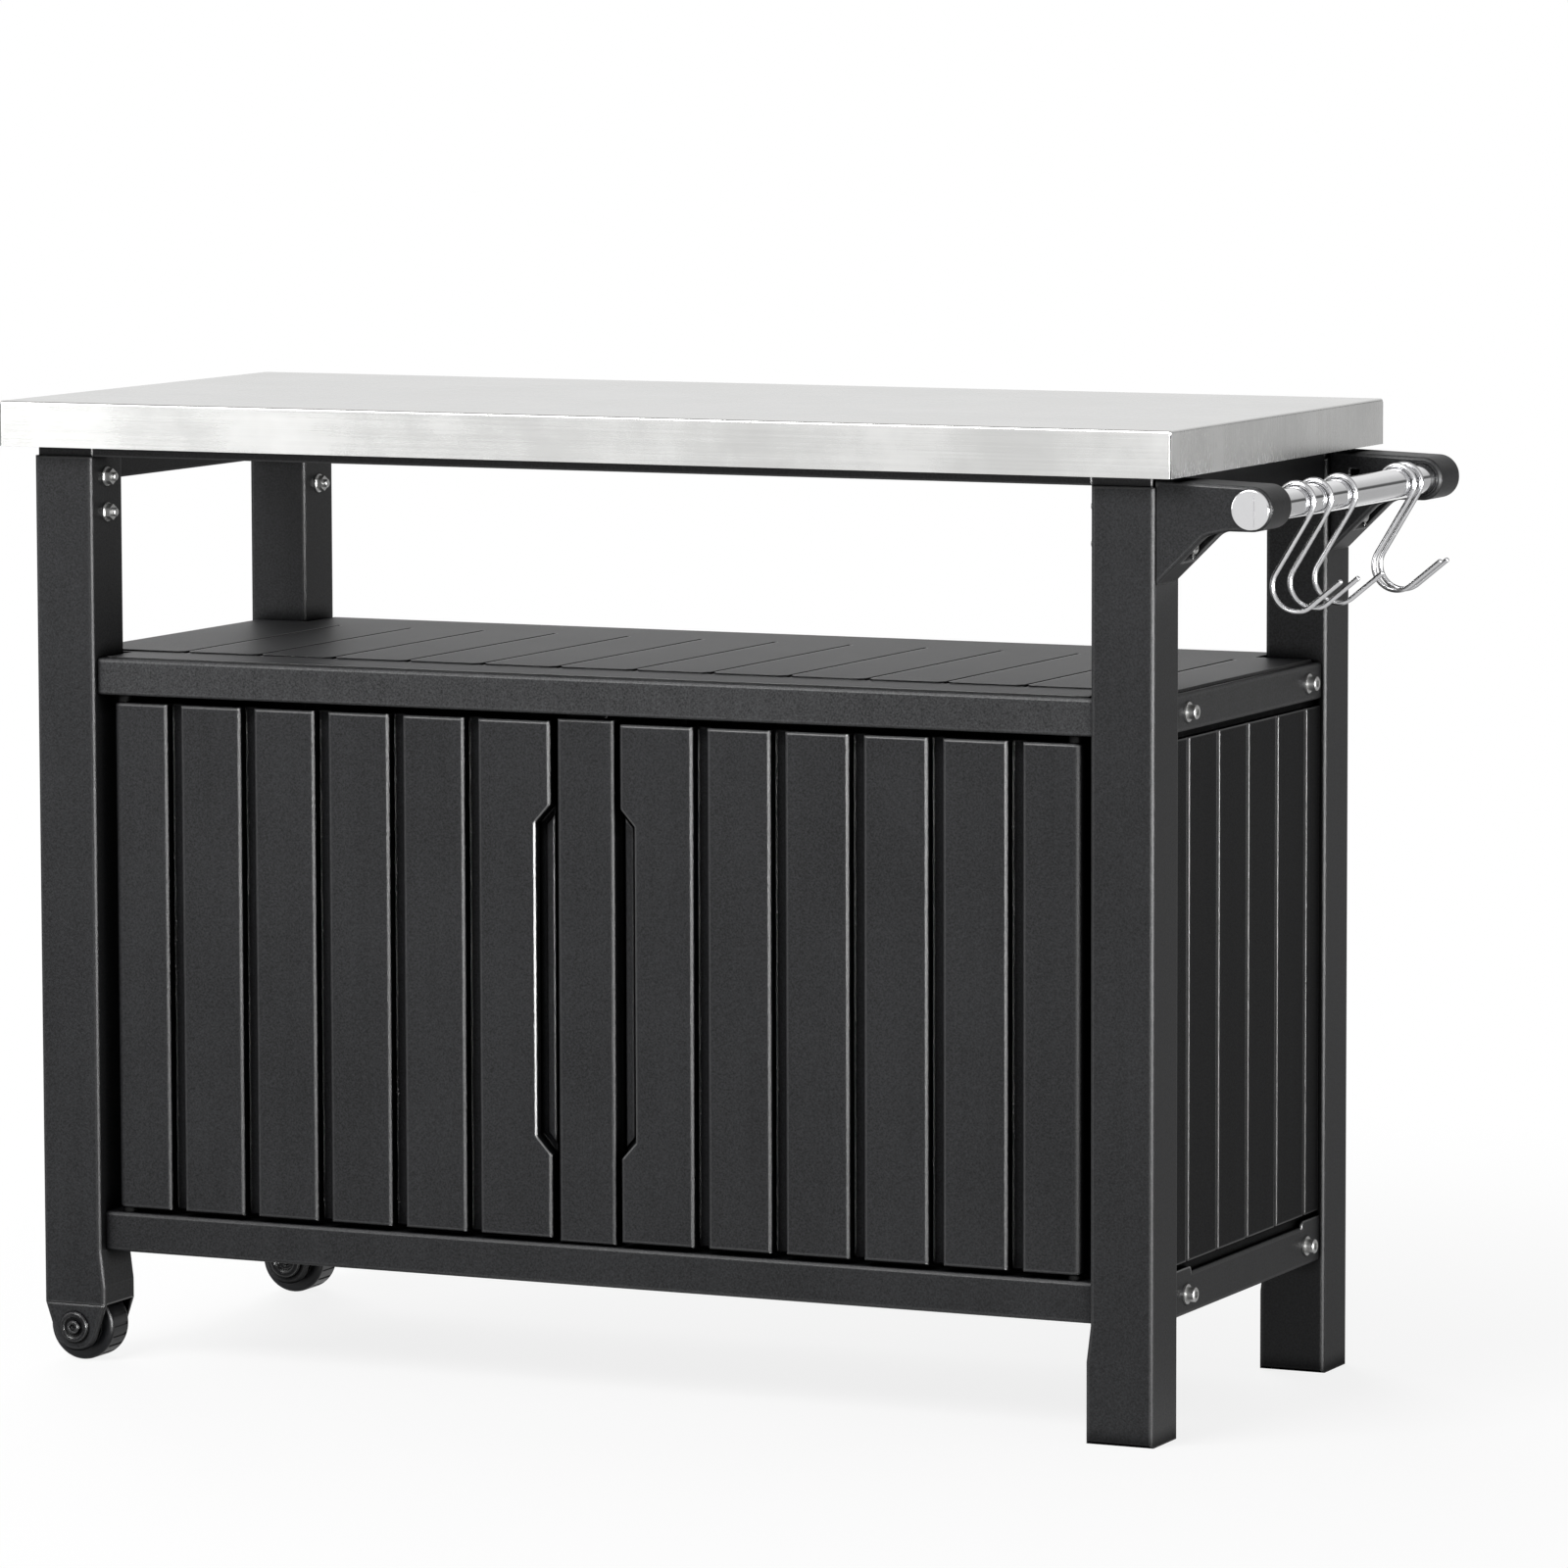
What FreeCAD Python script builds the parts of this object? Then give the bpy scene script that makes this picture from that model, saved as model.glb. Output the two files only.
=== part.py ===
import FreeCAD
import Part
import Sketcher
import math
import os
import re

# Grill cart with storage, in millimetres. X runs along the cart to its towel bar, Y from the
# door side to the back, Z up from the floor. The cell names below end in x, y or z where they
# are places, measured from the middle of the steel top's plan and from the floor.

# Driving dimensions: one independent size each.
DRIVING = {
    # Steel top: a folded tray
    "top_length": 1170, "top_depth": 517, "top_height": 900, "skirt_height": 42,
    "sheet_thick": 1.2, "sheet_bend": 2.4, "hem_width": 9,
    # Frame under the steel
    "frame_setback": 3, "front_rail_height": 50, "front_rail_thick": 28,
    "end_rail_height": 75, "end_rail_thick": 36, "batten_width": 50, "batten_height": 26,
    "spigot_length": 62, "spigot_wall": 5, "spigot_gap": 0.5,
    # Legs
    "leg_inset_x": 24.5, "leg_inset_y": 21.5, "leg_width": 60, "leg_depth": 58,
    "leg_wall": 4.5, "leg_round": 3, "foot_flare": 4, "flare_length": 32, "flare_drop": 0.5,
    "foot_sole": 8, "tongue_length": 45, "tongue_thick": 10, "tongue_height": 18,
    "tongue_inset": 17, "tongue_gap": 0.4,
    # Shelf and base
    "deck_gap": 0.3, "side_recess": 5, "back_recess": 5, "shelf_front_recess": 7,
    "base_front_recess": 11, "shelf_top_level": 661.5, "shelf_height": 34,
    "base_top_level": 142.8, "base_height": 37.3, "deck_round": 3,
    "shelf_border": 66.5, "shelf_back_border": 88, "shelf_relief": 1.4,
    "shelf_ledge": 6, "shelf_plate_rise": 1.2, "shelf_gutter_width": 1.6,
    "shelf_gutter_depth": 1.2,
    "shelf_rim": 7, "shelf_groove_width": 4, "shelf_first_groove": 111,
    "shelf_last_groove": 72.4, "shelf_groove_count": 13, "mouth_chamfer": 5,
    "cheek_rise": 5.2, "cheek_length": 44, "cheek_thick": 5,
    "underside_recess": 5, "underside_rib": 14, "recess_columns": 7, "recess_rows": 3,
    # Fixed panels and the post between the doors
    "panel_setback": 1, "panel_skin": 5, "panel_core": 8, "panel_gap": 1,
    "panel_slot_depth": 6, "panel_slot_gap": 0.3, "panel_low_reveal": 10.2, "panel_high_reveal": 6,
    "side_groove_count": 5, "back_groove_count": 12, "panel_groove_width": 6,
    "panel_groove_depth": 3.5, "cut_over": 1, "groove_over": 0.1,
    "post_width": 57, "post_setback": 14, "post_thick": 20, "post_low_reveal": 1.2,
    "post_high_reveal": 3.8, "post_tenon_width": 40, "post_tenon_thick": 10,
    "post_round": 2.5,
    # Doors
    "door_setback": 12, "door_thick": 18, "door_low_gap": 4.7, "door_high_gap": 7,
    "door_post_gap": 6.9, "door_leg_gap": 13, "door_groove_depth": 12,
    "door_groove_width": 14.7, "door_groove_count": 5, "door_wide_plank": 72.5,
    "door_last_plank": 56.9, "door_round": 2.2, "door_edge_flat": 0.5,
    "grip_length": 320.5, "grip_depth": 15, "grip_slope": 16.5,
    "grip_floor": 4, "grip_wall": 9.5, "grip_undercut": 12, "grip_overlap": 3,
    "grip_channel": 6.5, "grip_lip_drop": 11.5, "grip_lip_round": 0.8,
    "hinge_pin_radius": 4, "hinge_pin_depth": 24, "hinge_bush_radius": 7,
    "hinge_bush_barrel": 6.5, "hinge_bush_depth": 12, "hinge_fit": 0.1, "hinge_play": 0.3,
    "catch_length": 40, "catch_depth": 13, "catch_drop": 20, "catch_inset": 12,
    "catch_gap": 0.5, "strike_thick": 1.5, "strike_height": 12, "strike_drop": 2,
    # Towel bar and its arms
    "bar_radius": 14, "bar_wall": 1.5, "bar_drop": 68.4, "bar_reach": 89.4,
    "arm_shift": 2, "arm_width": 48, "arm_radius": 19.5, "arm_top_drop": 3,
    "arm_root_height": 92, "arm_knee_x": 46, "arm_knee_drop": 24, "arm_knee_round": 18,
    "arm_chin_x": 68, "arm_eye_flat": 0.2, "arm_round": 2.5, "arm_channel_width": 28,
    "arm_channel_step": 10,
    "arm_channel_end": 51.5, "arm_channel_drop": 16.6, "arm_root_wall": 20,
    "bar_bore_gap": 0.15, "plug_radius": 18, "plug_thick": 3.5, "plug_ridge_width": 8,
    "plug_ridge_rise": 1.4, "plug_neck": 14, "plug_neck_gap": 0.1,
    # S-hooks
    "hook_wire_radius": 2.3, "hook_play": 0.3, "hook_drop": 75, "hook_low_radius": 22,
    "hook_low_offset": 0.5, "hook_tip_angle": 39, "hook_tip_length": 36,
    "hook_curl_angle": 190, "hook_one_y": -126.1, "hook_two_y": -83.5, "hook_three_y": -23.5,
    "hook_four_y": 124, "hook_five_y": 141.6,
    # Wheels
    "wheel_radius": 33, "wheel_width": 33, "tread_depth": 0.9, "tread_groove_width": 2.6,
    "tread_count": 20, "tread_band": 24, "tyre_shoulder": 3.8, "tyre_bore_radius": 22,
    "wheel_bore_gap": 0.1, "well_gap": 3, "hub_lip": 3, "hub_recess": 3,
    "side_wall_level": 55, "foot_line_width": 0.8, "foot_line_depth": 0.5,
    "fork_drop": 23, "fork_half_end": 16.8, "fork_round": 21.5,
    "fork_boss_radius": 10, "boss_play": 0.4,
    "axle_radius": 4, "axle_gap": 0.1, "cap_radius": 14.6, "cap_thick": 3,
    "cap_edge": 1, "cap_dish_radius": 9, "cap_dish_level": 1.5, "axle_head_height": 3.4,
    "axle_socket_depth": 2, "axle_nut_radius": 16.5, "axle_nut_height": 4, "axle_end_drop": 1,
    # Bolts, nuts and washers
    "bolt_radius": 4, "bolt_head_radius": 6.5, "bolt_head_height": 8, "bolt_socket_width": 6,
    "bolt_socket_depth": 4, "bolt_gap": 0.3, "bolt_end": 4, "nut_width": 13, "nut_height": 6.5,
    "nut_flange_radius": 9, "nut_flange_thick": 1.6, "upper_bolt_drop": 71,
    "bolt_spacing": 33, "washer_radius": 9, "washer_thick": 1.6,
    "deck_bolt_offset": 33, "deck_bolt_length": 40, "deck_bolt_radius": 3,
    "bolt_chamfer": 0.8, "bolt_clearance": 3.6, "rail_wall": 6, "rail_end_wall": 12, "rail_top_wall": 12,
}

# Places and sizes worked out from the driving dimensions, as formulas of the same sheet.
DERIVED = {
    "leg_outer_x": "top_length / 2 - leg_inset_x",
    "leg_outer_y": "top_depth / 2 - leg_inset_y",
    "leg_inner_x": "leg_outer_x - leg_width",
    "leg_inner_y": "leg_outer_y - leg_depth",
    "foot_inner_x": "leg_inner_x - foot_flare",
    "leg_middle_y": "leg_outer_y - leg_depth / 2",
    "axle_x": "(leg_outer_x + foot_inner_x) / 2",
    "steel_under_z": "top_height - sheet_thick",
    "leg_top_z": "steel_under_z - front_rail_height",
    "frame_outer_x": "leg_outer_x - frame_setback",
    "frame_outer_y": "leg_outer_y - frame_setback",
    "base_under_z": "base_top_level - base_height",
    "shelf_under_z": "shelf_top_level - shelf_height",
    "shelf_plate_z": "shelf_top_level + shelf_plate_rise",
    "flare_top_z": "base_under_z - flare_drop",
    "flare_low_z": "flare_top_z - flare_length",
    "deck_side_x": "leg_outer_x - side_recess",
    "deck_back_y": "leg_outer_y - back_recess",
    "deck_edge_x": "leg_inner_x - deck_gap",
    "deck_edge_y": "leg_inner_y - deck_gap",
    "tongue_far_x": "leg_outer_x - tongue_inset",
    "tongue_near_x": "tongue_far_x - tongue_thick",
    "shelf_middle_z": "shelf_top_level - shelf_height / 2",
    "base_middle_z": "base_top_level - base_height / 2",
    "panel_face_x": "deck_side_x - panel_setback",
    "panel_face_y": "deck_back_y - panel_setback",
    "panel_half_x": "leg_inner_x - panel_gap",
    "panel_half_y": "leg_inner_y - panel_gap",
    "side_groove_pitch": "2 * panel_half_y / side_groove_count",
    "back_groove_pitch": "2 * panel_half_x / (back_groove_count + 1)",
    "shelf_groove_pitch": "(2 * deck_side_x - shelf_first_groove - shelf_last_groove)"
                          " / (shelf_groove_count - 1)",
    "panel_low_z": "base_top_level + panel_low_reveal",
    "panel_high_z": "shelf_under_z - panel_high_reveal",
    "slot_low_z": "base_top_level - panel_slot_depth",
    "slot_high_z": "shelf_under_z + panel_slot_depth",
    "post_face_y": "-leg_outer_y + post_setback",
    "post_middle_y": "post_face_y + post_thick / 2",
    "post_low_z": "base_top_level + post_low_reveal",
    "post_high_z": "shelf_under_z - post_high_reveal",
    "door_face_y": "-leg_outer_y + door_setback",
    "door_back_y": "door_face_y + door_thick",
    "door_low_z": "base_top_level + door_low_gap",
    "door_high_z": "shelf_under_z - door_high_gap",
    "door_middle_z": "(door_low_z + door_high_z) / 2",
    "door_inner_x": "post_width / 2 + door_post_gap",
    "door_outer_x": "leg_inner_x - door_leg_gap",
    "door_plank_pitch": "(door_outer_x - door_inner_x - door_wide_plank - door_last_plank"
                        " - door_groove_width) / (door_groove_count - 1)",
    "door_axis_x": "door_outer_x - door_thick / 2",
    "door_axis_y": "door_face_y + door_thick / 2",
    "grip_x": "door_inner_x + grip_depth",
    "grip_turn": "sqrt(grip_depth ^ 2 + grip_slope ^ 2) / grip_depth",
    "strike_back_y": "door_back_y + strike_thick",
    "catch_face_y": "strike_back_y + catch_gap",
    "catch_inner_x": "door_inner_x + catch_inset",
    "strike_high_z": "door_high_z - strike_drop",
    "bar_x": "leg_outer_x + bar_reach",
    "bar_level": "top_height - bar_drop",
    "arm_top_z": "top_height - skirt_height - arm_top_drop",
    "arm_root_z": "arm_top_z - arm_root_height",
    "arm_middle_y": "leg_middle_y + arm_shift",
    "arm_outer_y": "arm_middle_y + arm_width / 2",
    "arm_inner_y": "arm_middle_y - arm_width / 2",
    "arm_seat_x": "leg_outer_x + arm_root_wall",
    "upper_bolt_z": "top_height - upper_bolt_drop",
    "lower_bolt_z": "upper_bolt_z - bolt_spacing",
    "head_room": "bolt_head_radius + bolt_clearance",
    "spigot_low_z": "leg_top_z - spigot_length",
    "well_radius": "wheel_radius + well_gap",
    "leg_cavity_z": "wheel_radius + well_radius + leg_wall",
    "hook_turn_radius": "bar_radius + hook_play + hook_wire_radius",
    "hook_tip_x": "-hook_low_offset + hook_low_radius * sin(hook_tip_angle)"
                  " + hook_tip_length * cos(hook_tip_angle)"
                  " + hook_wire_radius",
    "cart_end_x": "bar_x + max(hook_tip_x; arm_radius)",
    "origin_shift": "(top_length / 2 - cart_end_x) / 2",
}

FILE_FOLDER = "parts"
NAME = re.compile(r"[a-z][a-z_]*")
SMALL = 0.01

doc = FreeCAD.newDocument("grill_cart")
sheet = doc.addObject("Spreadsheet::Sheet", "Sizes")


def fill_sheet():
    """Write the driving numbers, then the formulas, one named cell in each row."""
    row = 1
    for name, number in DRIVING.items():
        sheet.set(f"A{row}", name)
        sheet.set(f"B{row}", str(number))
        sheet.setAlias(f"B{row}", name)
        row += 1
    for name, formula in DERIVED.items():
        sheet.set(f"A{row}", name)
        sheet.set(f"B{row}", "=" + formula)
        sheet.setAlias(f"B{row}", name)
        row += 1
    doc.recompute()


def cell(name):
    """The number now in a named cell."""
    return float(getattr(sheet, name))


def bound(text):
    """The same formula with each cell name led by the name of its sheet."""
    return NAME.sub(lambda match: "Sizes." + match.group(0), str(text))


def mirrored(text, side):
    """A place, or its mirror image where side is -1."""
    return f"{side} * ({text})"


def span(outer, inner, side):
    """The two mirrored ends of a width, lower one first."""
    ends = (mirrored(outer, side), mirrored(inner, side))
    return ends if side < 0 else ends[::-1]


def new_body(name):
    """An empty body whose frame follows the shift that centres the whole cart on its box."""
    body = doc.addObject("PartDesign::Body", name)
    body.Label = name
    body.setExpression("Placement.Base.x", bound("origin_shift"))
    return body


def new_sketch(body, plane, level):
    """A sketch on one of the body's own planes, moved along that plane's world axis."""
    role = {"X": "YZ_Plane", "Y": "XZ_Plane", "Z": "XY_Plane"}[plane]
    support = next(item for item in body.Origin.OriginFeatures if item.Role == role)
    sketch = body.newObject("Sketcher::SketchObject", body.Name + "_sketch")
    sketch.AttachmentSupport = [(support, "")]
    sketch.MapMode = "FlatFace"
    # The XZ plane looks along -Y, so its offset has the opposite sign.
    away = f"-({level})" if plane == "Y" else str(level)
    sketch.setExpression("AttachmentOffset.Base.z", bound(away))
    return sketch


def add_outline(sketch, corners):
    """A closed outline through corners whose two coordinates are formulas."""
    first = sketch.GeometryCount
    count = len(corners)
    for index in range(count):
        start = 2 * math.pi * index / count
        end = 2 * math.pi * (index + 1) / count
        sketch.addGeometry(Part.LineSegment(
            FreeCAD.Vector(math.cos(start), math.sin(start), 0),
            FreeCAD.Vector(math.cos(end), math.sin(end), 0)), False)
    for index in range(count):
        following = first + (index + 1) % count
        sketch.addConstraint(Sketcher.Constraint("Coincident", first + index, 2, following, 1))
    for index, corner in enumerate(corners):
        for kind, formula in zip(("DistanceX", "DistanceY"), corner):
            number = sketch.addConstraint(
                Sketcher.Constraint(kind, -1, 1, first + index, 1, 1.0))
            sketch.setExpression(f"Constraints[{number}]", bound(formula))


def add_box_outline(sketch, low, high):
    """A closed rectangle between two opposite corners."""
    add_outline(sketch, [low, (high[0], low[1]), high, (low[0], high[1])])


def add_circle(sketch, centre, radius):
    """A circle with formulas for its centre and radius."""
    index = sketch.addGeometry(Part.Circle(
        FreeCAD.Vector(0, 0, 0), FreeCAD.Vector(0, 0, 1), 1.0), False)
    for kind, formula in zip(("DistanceX", "DistanceY"), centre):
        number = sketch.addConstraint(Sketcher.Constraint(kind, -1, 1, index, 3, 1.0))
        sketch.setExpression(f"Constraints[{number}]", bound(formula))
    number = sketch.addConstraint(Sketcher.Constraint("Radius", index, 1.0))
    sketch.setExpression(f"Constraints[{number}]", bound(radius))


def pad(sketch, length):
    """Grow the sketch along the positive world axis of its plane."""
    body = sketch.getParentGeoFeatureGroup()
    feature = body.newObject("PartDesign::Pad", body.Name + "_pad")
    feature.Profile = sketch
    feature.Reversed = "XZ_Plane" in sketch.AttachmentSupport[0][0].Role
    feature.setExpression("Length", bound(length))
    return feature


def pocket(sketch, length):
    """Cut the sketch along the positive world axis of its plane, and prove that it cut."""
    body = sketch.getParentGeoFeatureGroup()
    doc.recompute()
    before = body.Shape.Volume
    feature = body.newObject("PartDesign::Pocket", body.Name + "_pocket")
    feature.Profile = sketch
    feature.Reversed = "XZ_Plane" not in sketch.AttachmentSupport[0][0].Role
    feature.setExpression("Length", bound(length))
    doc.recompute()
    if body.Shape.Volume > before - SMALL:
        raise ValueError(f"{feature.Name} removes nothing")
    return feature


def pad_box(body, low, high):
    """Add a block between two opposite corners of formulas."""
    sketch = new_sketch(body, "Z", low[2])
    add_box_outline(sketch, low[:2], high[:2])
    return pad(sketch, f"({high[2]}) - ({low[2]})")


def cut_box(body, low, high):
    """Remove a block between two opposite corners of formulas."""
    sketch = new_sketch(body, "Z", low[2])
    add_box_outline(sketch, low[:2], high[:2])
    return pocket(sketch, f"({high[2]}) - ({low[2]})")


def cut_bore(body, plane, level, centre, radius, length):
    """Drill a round hole along the positive world axis of a plane."""
    sketch = new_sketch(body, plane, level)
    add_circle(sketch, centre, radius)
    return pocket(sketch, length)


def round_edges(body, radius, wanted):
    """Round the tip's edges that a test of their two end points accepts."""
    doc.recompute()
    base = body.Tip
    names = []
    for index, edge in enumerate(base.Shape.Edges):
        if len(edge.Vertexes) == 2:
            ends = [vertex.Point for vertex in edge.Vertexes]
            if wanted(ends[0], ends[1]):
                names.append(f"Edge{index + 1}")
    if not names:
        raise ValueError(f"{body.Name} has no edge to round")
    feature = body.newObject("PartDesign::Fillet", body.Name + "_round")
    feature.Base = (base, names)
    feature.setExpression("Radius", bound(radius))
    return feature


def repeat(body, feature, sketch, axis, pitch, count):
    """Repeat a feature along its sketch's horizontal or vertical axis."""
    pattern = body.newObject("PartDesign::LinearPattern", body.Name + "_row")
    pattern.Originals = [feature]
    pattern.Direction = (sketch, [axis])
    pattern.setExpression("Length", bound(f"({pitch}) * ({count} - 1)"))
    pattern.setExpression("Occurrences", bound(count))
    body.Tip = pattern
    return pattern


def at(value, target):
    """Whether a number is at a place."""
    return abs(value - target) < SMALL


# Steel top and the frame below it


def build_steel_top():
    """A folded tray: deck, four skirts and a hem turned inward along their lower edge."""
    body = new_body("steel_top")
    half_x, half_y = "top_length / 2", "top_depth / 2"
    low_z = "top_height - skirt_height"
    pad_box(body, (f"-{half_x}", f"-{half_y}", low_z), (half_x, half_y, "top_height"))
    x, y, z = cell("top_length") / 2, cell("top_depth") / 2, cell("top_height")
    round_edges(body, "sheet_bend", lambda a, b: (at(a.z, z) and at(b.z, z))
                or (at(abs(a.x), x) and at(abs(a.y), y) and not at(a.z, b.z)))
    cut_box(body, (f"-({half_x} - sheet_thick)", f"-({half_y} - sheet_thick)",
                   f"{low_z} + sheet_thick"),
            (f"{half_x} - sheet_thick", f"{half_y} - sheet_thick", "steel_under_z"))
    cut_box(body, (f"-({half_x} - hem_width)", f"-({half_y} - hem_width)", low_z),
            (f"{half_x} - hem_width", f"{half_y} - hem_width", f"{low_z} + sheet_thick"))
    return body


def build_frame_rails():
    """Front, back and end rails, and three battens, all under the steel deck."""
    made = []
    for name, side in (("top_front_rail", -1), ("top_back_rail", 1)):
        body = new_body(name)
        low, high = span("frame_outer_y", "frame_outer_y - front_rail_thick", side)
        pad_box(body, ("-leg_inner_x", low, "leg_top_z"), ("leg_inner_x", high, "steel_under_z"))
        # A channel in the hidden underside keeps the moulded rail light.
        cut_box(body, ("-leg_inner_x + rail_end_wall", f"{low} + rail_wall", "leg_top_z"),
                ("leg_inner_x - rail_end_wall", f"{high} - rail_wall",
                 "steel_under_z - rail_top_wall"))
        made.append(body)
    for name, side in (("top_left_rail", -1), ("top_right_rail", 1)):
        body = new_body(name)
        low, high = span("frame_outer_x", "frame_outer_x - end_rail_thick", side)
        pad_box(body, (low, "-leg_inner_y", "steel_under_z - end_rail_height"),
                (high, "leg_inner_y", "steel_under_z"))
        cut_box(body, (f"{low} + rail_wall", "-leg_inner_y + rail_end_wall",
                       "steel_under_z - end_rail_height"),
                (f"{high} - rail_wall", "leg_inner_y - rail_end_wall",
                 "steel_under_z - rail_top_wall"))
        made.append(body)
    for name, place in (("top_left_batten", "-leg_inner_x / 2"), ("top_middle_batten", "0"),
                        ("top_right_batten", "leg_inner_x / 2")):
        body = new_body(name)
        end_y = "frame_outer_y - front_rail_thick"
        pad_box(body, (f"{place} - batten_width / 2", f"-({end_y})",
                       "steel_under_z - batten_height"),
                (f"{place} + batten_width / 2", end_y, "steel_under_z"))
        cut_box(body, (f"{place} - batten_width / 2 + rail_wall", f"-({end_y}) + rail_end_wall",
                       "steel_under_z - batten_height"),
                (f"{place} + batten_width / 2 - rail_wall", f"{end_y} - rail_end_wall",
                 "steel_under_z - rail_top_wall"))
        made.append(body)
    return made


def build_corner_block(name, side_x, side_y):
    """A block on top of a leg whose hollow spigot plugs into the leg and takes two bolts."""
    body = new_body(name)
    low_x, high_x = span("frame_outer_x", "leg_inner_x", side_x)
    low_y, high_y = span("frame_outer_y", "leg_inner_y", side_y)
    pad_box(body, (low_x, low_y, "leg_top_z"), (high_x, high_y, "steel_under_z"))
    wall = "(leg_wall + spigot_gap)"
    low_x, high_x = span(f"leg_outer_x - {wall}", f"leg_inner_x + {wall}", side_x)
    low_y, high_y = span(f"leg_outer_y - {wall}", f"leg_inner_y + {wall}", side_y)
    pad_box(body, (low_x, low_y, "spigot_low_z"), (high_x, high_y, "leg_top_z"))
    cut_box(body, (f"{low_x} + spigot_wall", f"{low_y} + spigot_wall", "spigot_low_z"),
            (f"{high_x} - spigot_wall", f"{high_y} - spigot_wall",
             "steel_under_z - rail_top_wall"))
    for level in ("upper_bolt_z", "lower_bolt_z"):
        cut_bore(body, "X", f"{low_x} - cut_over", (mirrored("leg_middle_y", side_y), level),
                 "bolt_radius + bolt_gap", f"({high_x}) - ({low_x}) + 2 * cut_over")
    return body


# Legs


def leg_outline(side, on_wheel):
    """The front view of a leg: straight outside, flared inside, forked or flat at the foot."""
    outer, inner, foot = "leg_outer_x", "leg_inner_x", "foot_inner_x"
    if on_wheel:
        low_z = "wheel_radius - fork_drop"
        bottom = [(foot, "side_wall_level"), ("axle_x - fork_half_end", low_z),
                  ("axle_x + fork_half_end", low_z), (outer, "side_wall_level")]
    else:
        bottom = [(foot, "0"), (outer, "0")]
    corners = [(outer, "leg_top_z"), (inner, "leg_top_z"), (inner, "flare_top_z"),
               (foot, "flare_low_z")] + bottom
    return [(mirrored(x, side), z) for x, z in corners]


def add_tongues(body, side_x, side_y):
    """Two flat tongues that enter the ends of the shelf and the base, each with its bolt hole."""
    for level in ("shelf_middle_z", "base_middle_z"):
        ends_x = span("tongue_far_x", "tongue_near_x", side_x)
        ends_y = span("leg_inner_y + leg_wall / 2", "leg_inner_y - tongue_length", side_y)
        pad_box(body, (ends_x[0], ends_y[0], f"{level} - tongue_height / 2"),
                (ends_x[1], ends_y[1], f"{level} + tongue_height / 2"))
        cut_bore(body, "X", f"{ends_x[0]} - cut_over",
                 (mirrored("leg_inner_y - deck_bolt_offset", side_y), level),
                 "deck_bolt_radius + bolt_gap", "tongue_thick + 2 * cut_over")


def cut_wheel_well(body, side_x, low_y):
    """The well that makes the foot a fork, a boss on each cheek and the axle bore."""
    middle = mirrored("axle_x", side_x)
    start = f"{low_y} + leg_wall"
    length = "leg_depth - 2 * leg_wall"
    cut_box(body, (f"{middle} - leg_width", start, "-leg_wall"),
            (f"{middle} + leg_width", f"{start} + {length}", "side_wall_level"))
    cut_bore(body, "Y", start, (middle, "wheel_radius"), "well_radius", length)
    boss = "((leg_depth - wheel_width) / 2 - leg_wall - boss_play)"
    for place in (start, f"{low_y} + leg_depth - leg_wall - {boss}"):
        sketch = new_sketch(body, "Y", place)
        add_circle(sketch, (middle, "wheel_radius"), "fork_boss_radius")
        pad(sketch, boss)
    cut_bore(body, "Y", f"{low_y} - leg_wall", (middle, "wheel_radius"),
             "axle_radius + axle_gap", "leg_depth + 2 * leg_wall")


def build_leg(name, side_x, side_y, on_wheel):
    """One moulded leg, open at the top for its corner block."""
    body = new_body(name)
    low_y = mirrored("leg_outer_y" if side_y < 0 else "leg_inner_y", side_y)
    sketch = new_sketch(body, "Y", low_y)
    add_outline(sketch, leg_outline(side_x, on_wheel))
    pad(sketch, "leg_depth")
    if on_wheel:
        low_z = cell("wheel_radius") - cell("fork_drop")
        round_edges(body, "fork_round", lambda a, b: at(a.z, low_z) and at(b.z, low_z)
                    and at(a.x, b.x))
    faces = [side_y * cell("leg_outer_y"), side_y * cell("leg_inner_y")]
    top = cell("leg_top_z")
    round_edges(body, "leg_round", lambda a, b: not (at(a.z, top) and at(b.z, top))
                and any(at(a.y, face) and at(b.y, face) for face in faces))
    floor = "leg_cavity_z" if on_wheel else "foot_sole"
    ends = span("leg_outer_x - leg_wall", "leg_inner_x + leg_wall", side_x)
    cut_box(body, (ends[0], f"{low_y} + leg_wall", floor),
            (ends[1], f"{low_y} + leg_depth - leg_wall", "leg_top_z"))
    if on_wheel:
        cut_wheel_well(body, side_x, low_y)
        ends_x = span("leg_outer_x + cut_over", "foot_inner_x - cut_over", side_x)
        ends_y = span("leg_outer_y + cut_over", "leg_outer_y - foot_line_depth", side_y)
        cut_box(body, (ends_x[0], ends_y[0], "side_wall_level - foot_line_width / 2"),
                (ends_x[1], ends_y[1], "side_wall_level + foot_line_width / 2"))
    add_tongues(body, side_x, side_y)
    ends = span("leg_outer_x", "leg_inner_x", side_x)
    for level in ("upper_bolt_z", "lower_bolt_z"):
        cut_bore(body, "X", f"{ends[0]} - leg_wall", (mirrored("leg_middle_y", side_y), level),
                 "bolt_radius + bolt_gap", "leg_width + 2 * leg_wall")
    return body


# Shelf and base


def deck_outline(front_recess):
    """The plan of a deck: its four aprons between the legs, its corners cut round them."""
    front = f"-leg_outer_y + {front_recess}"
    right = [("deck_edge_x", front), ("deck_edge_x", "-deck_edge_y"),
             ("deck_side_x", "-deck_edge_y"), ("deck_side_x", "deck_edge_y"),
             ("deck_edge_x", "deck_edge_y"), ("deck_edge_x", "deck_back_y")]
    left = [(f"-({x})", y) for x, y in reversed(right)]
    return right + left


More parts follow.
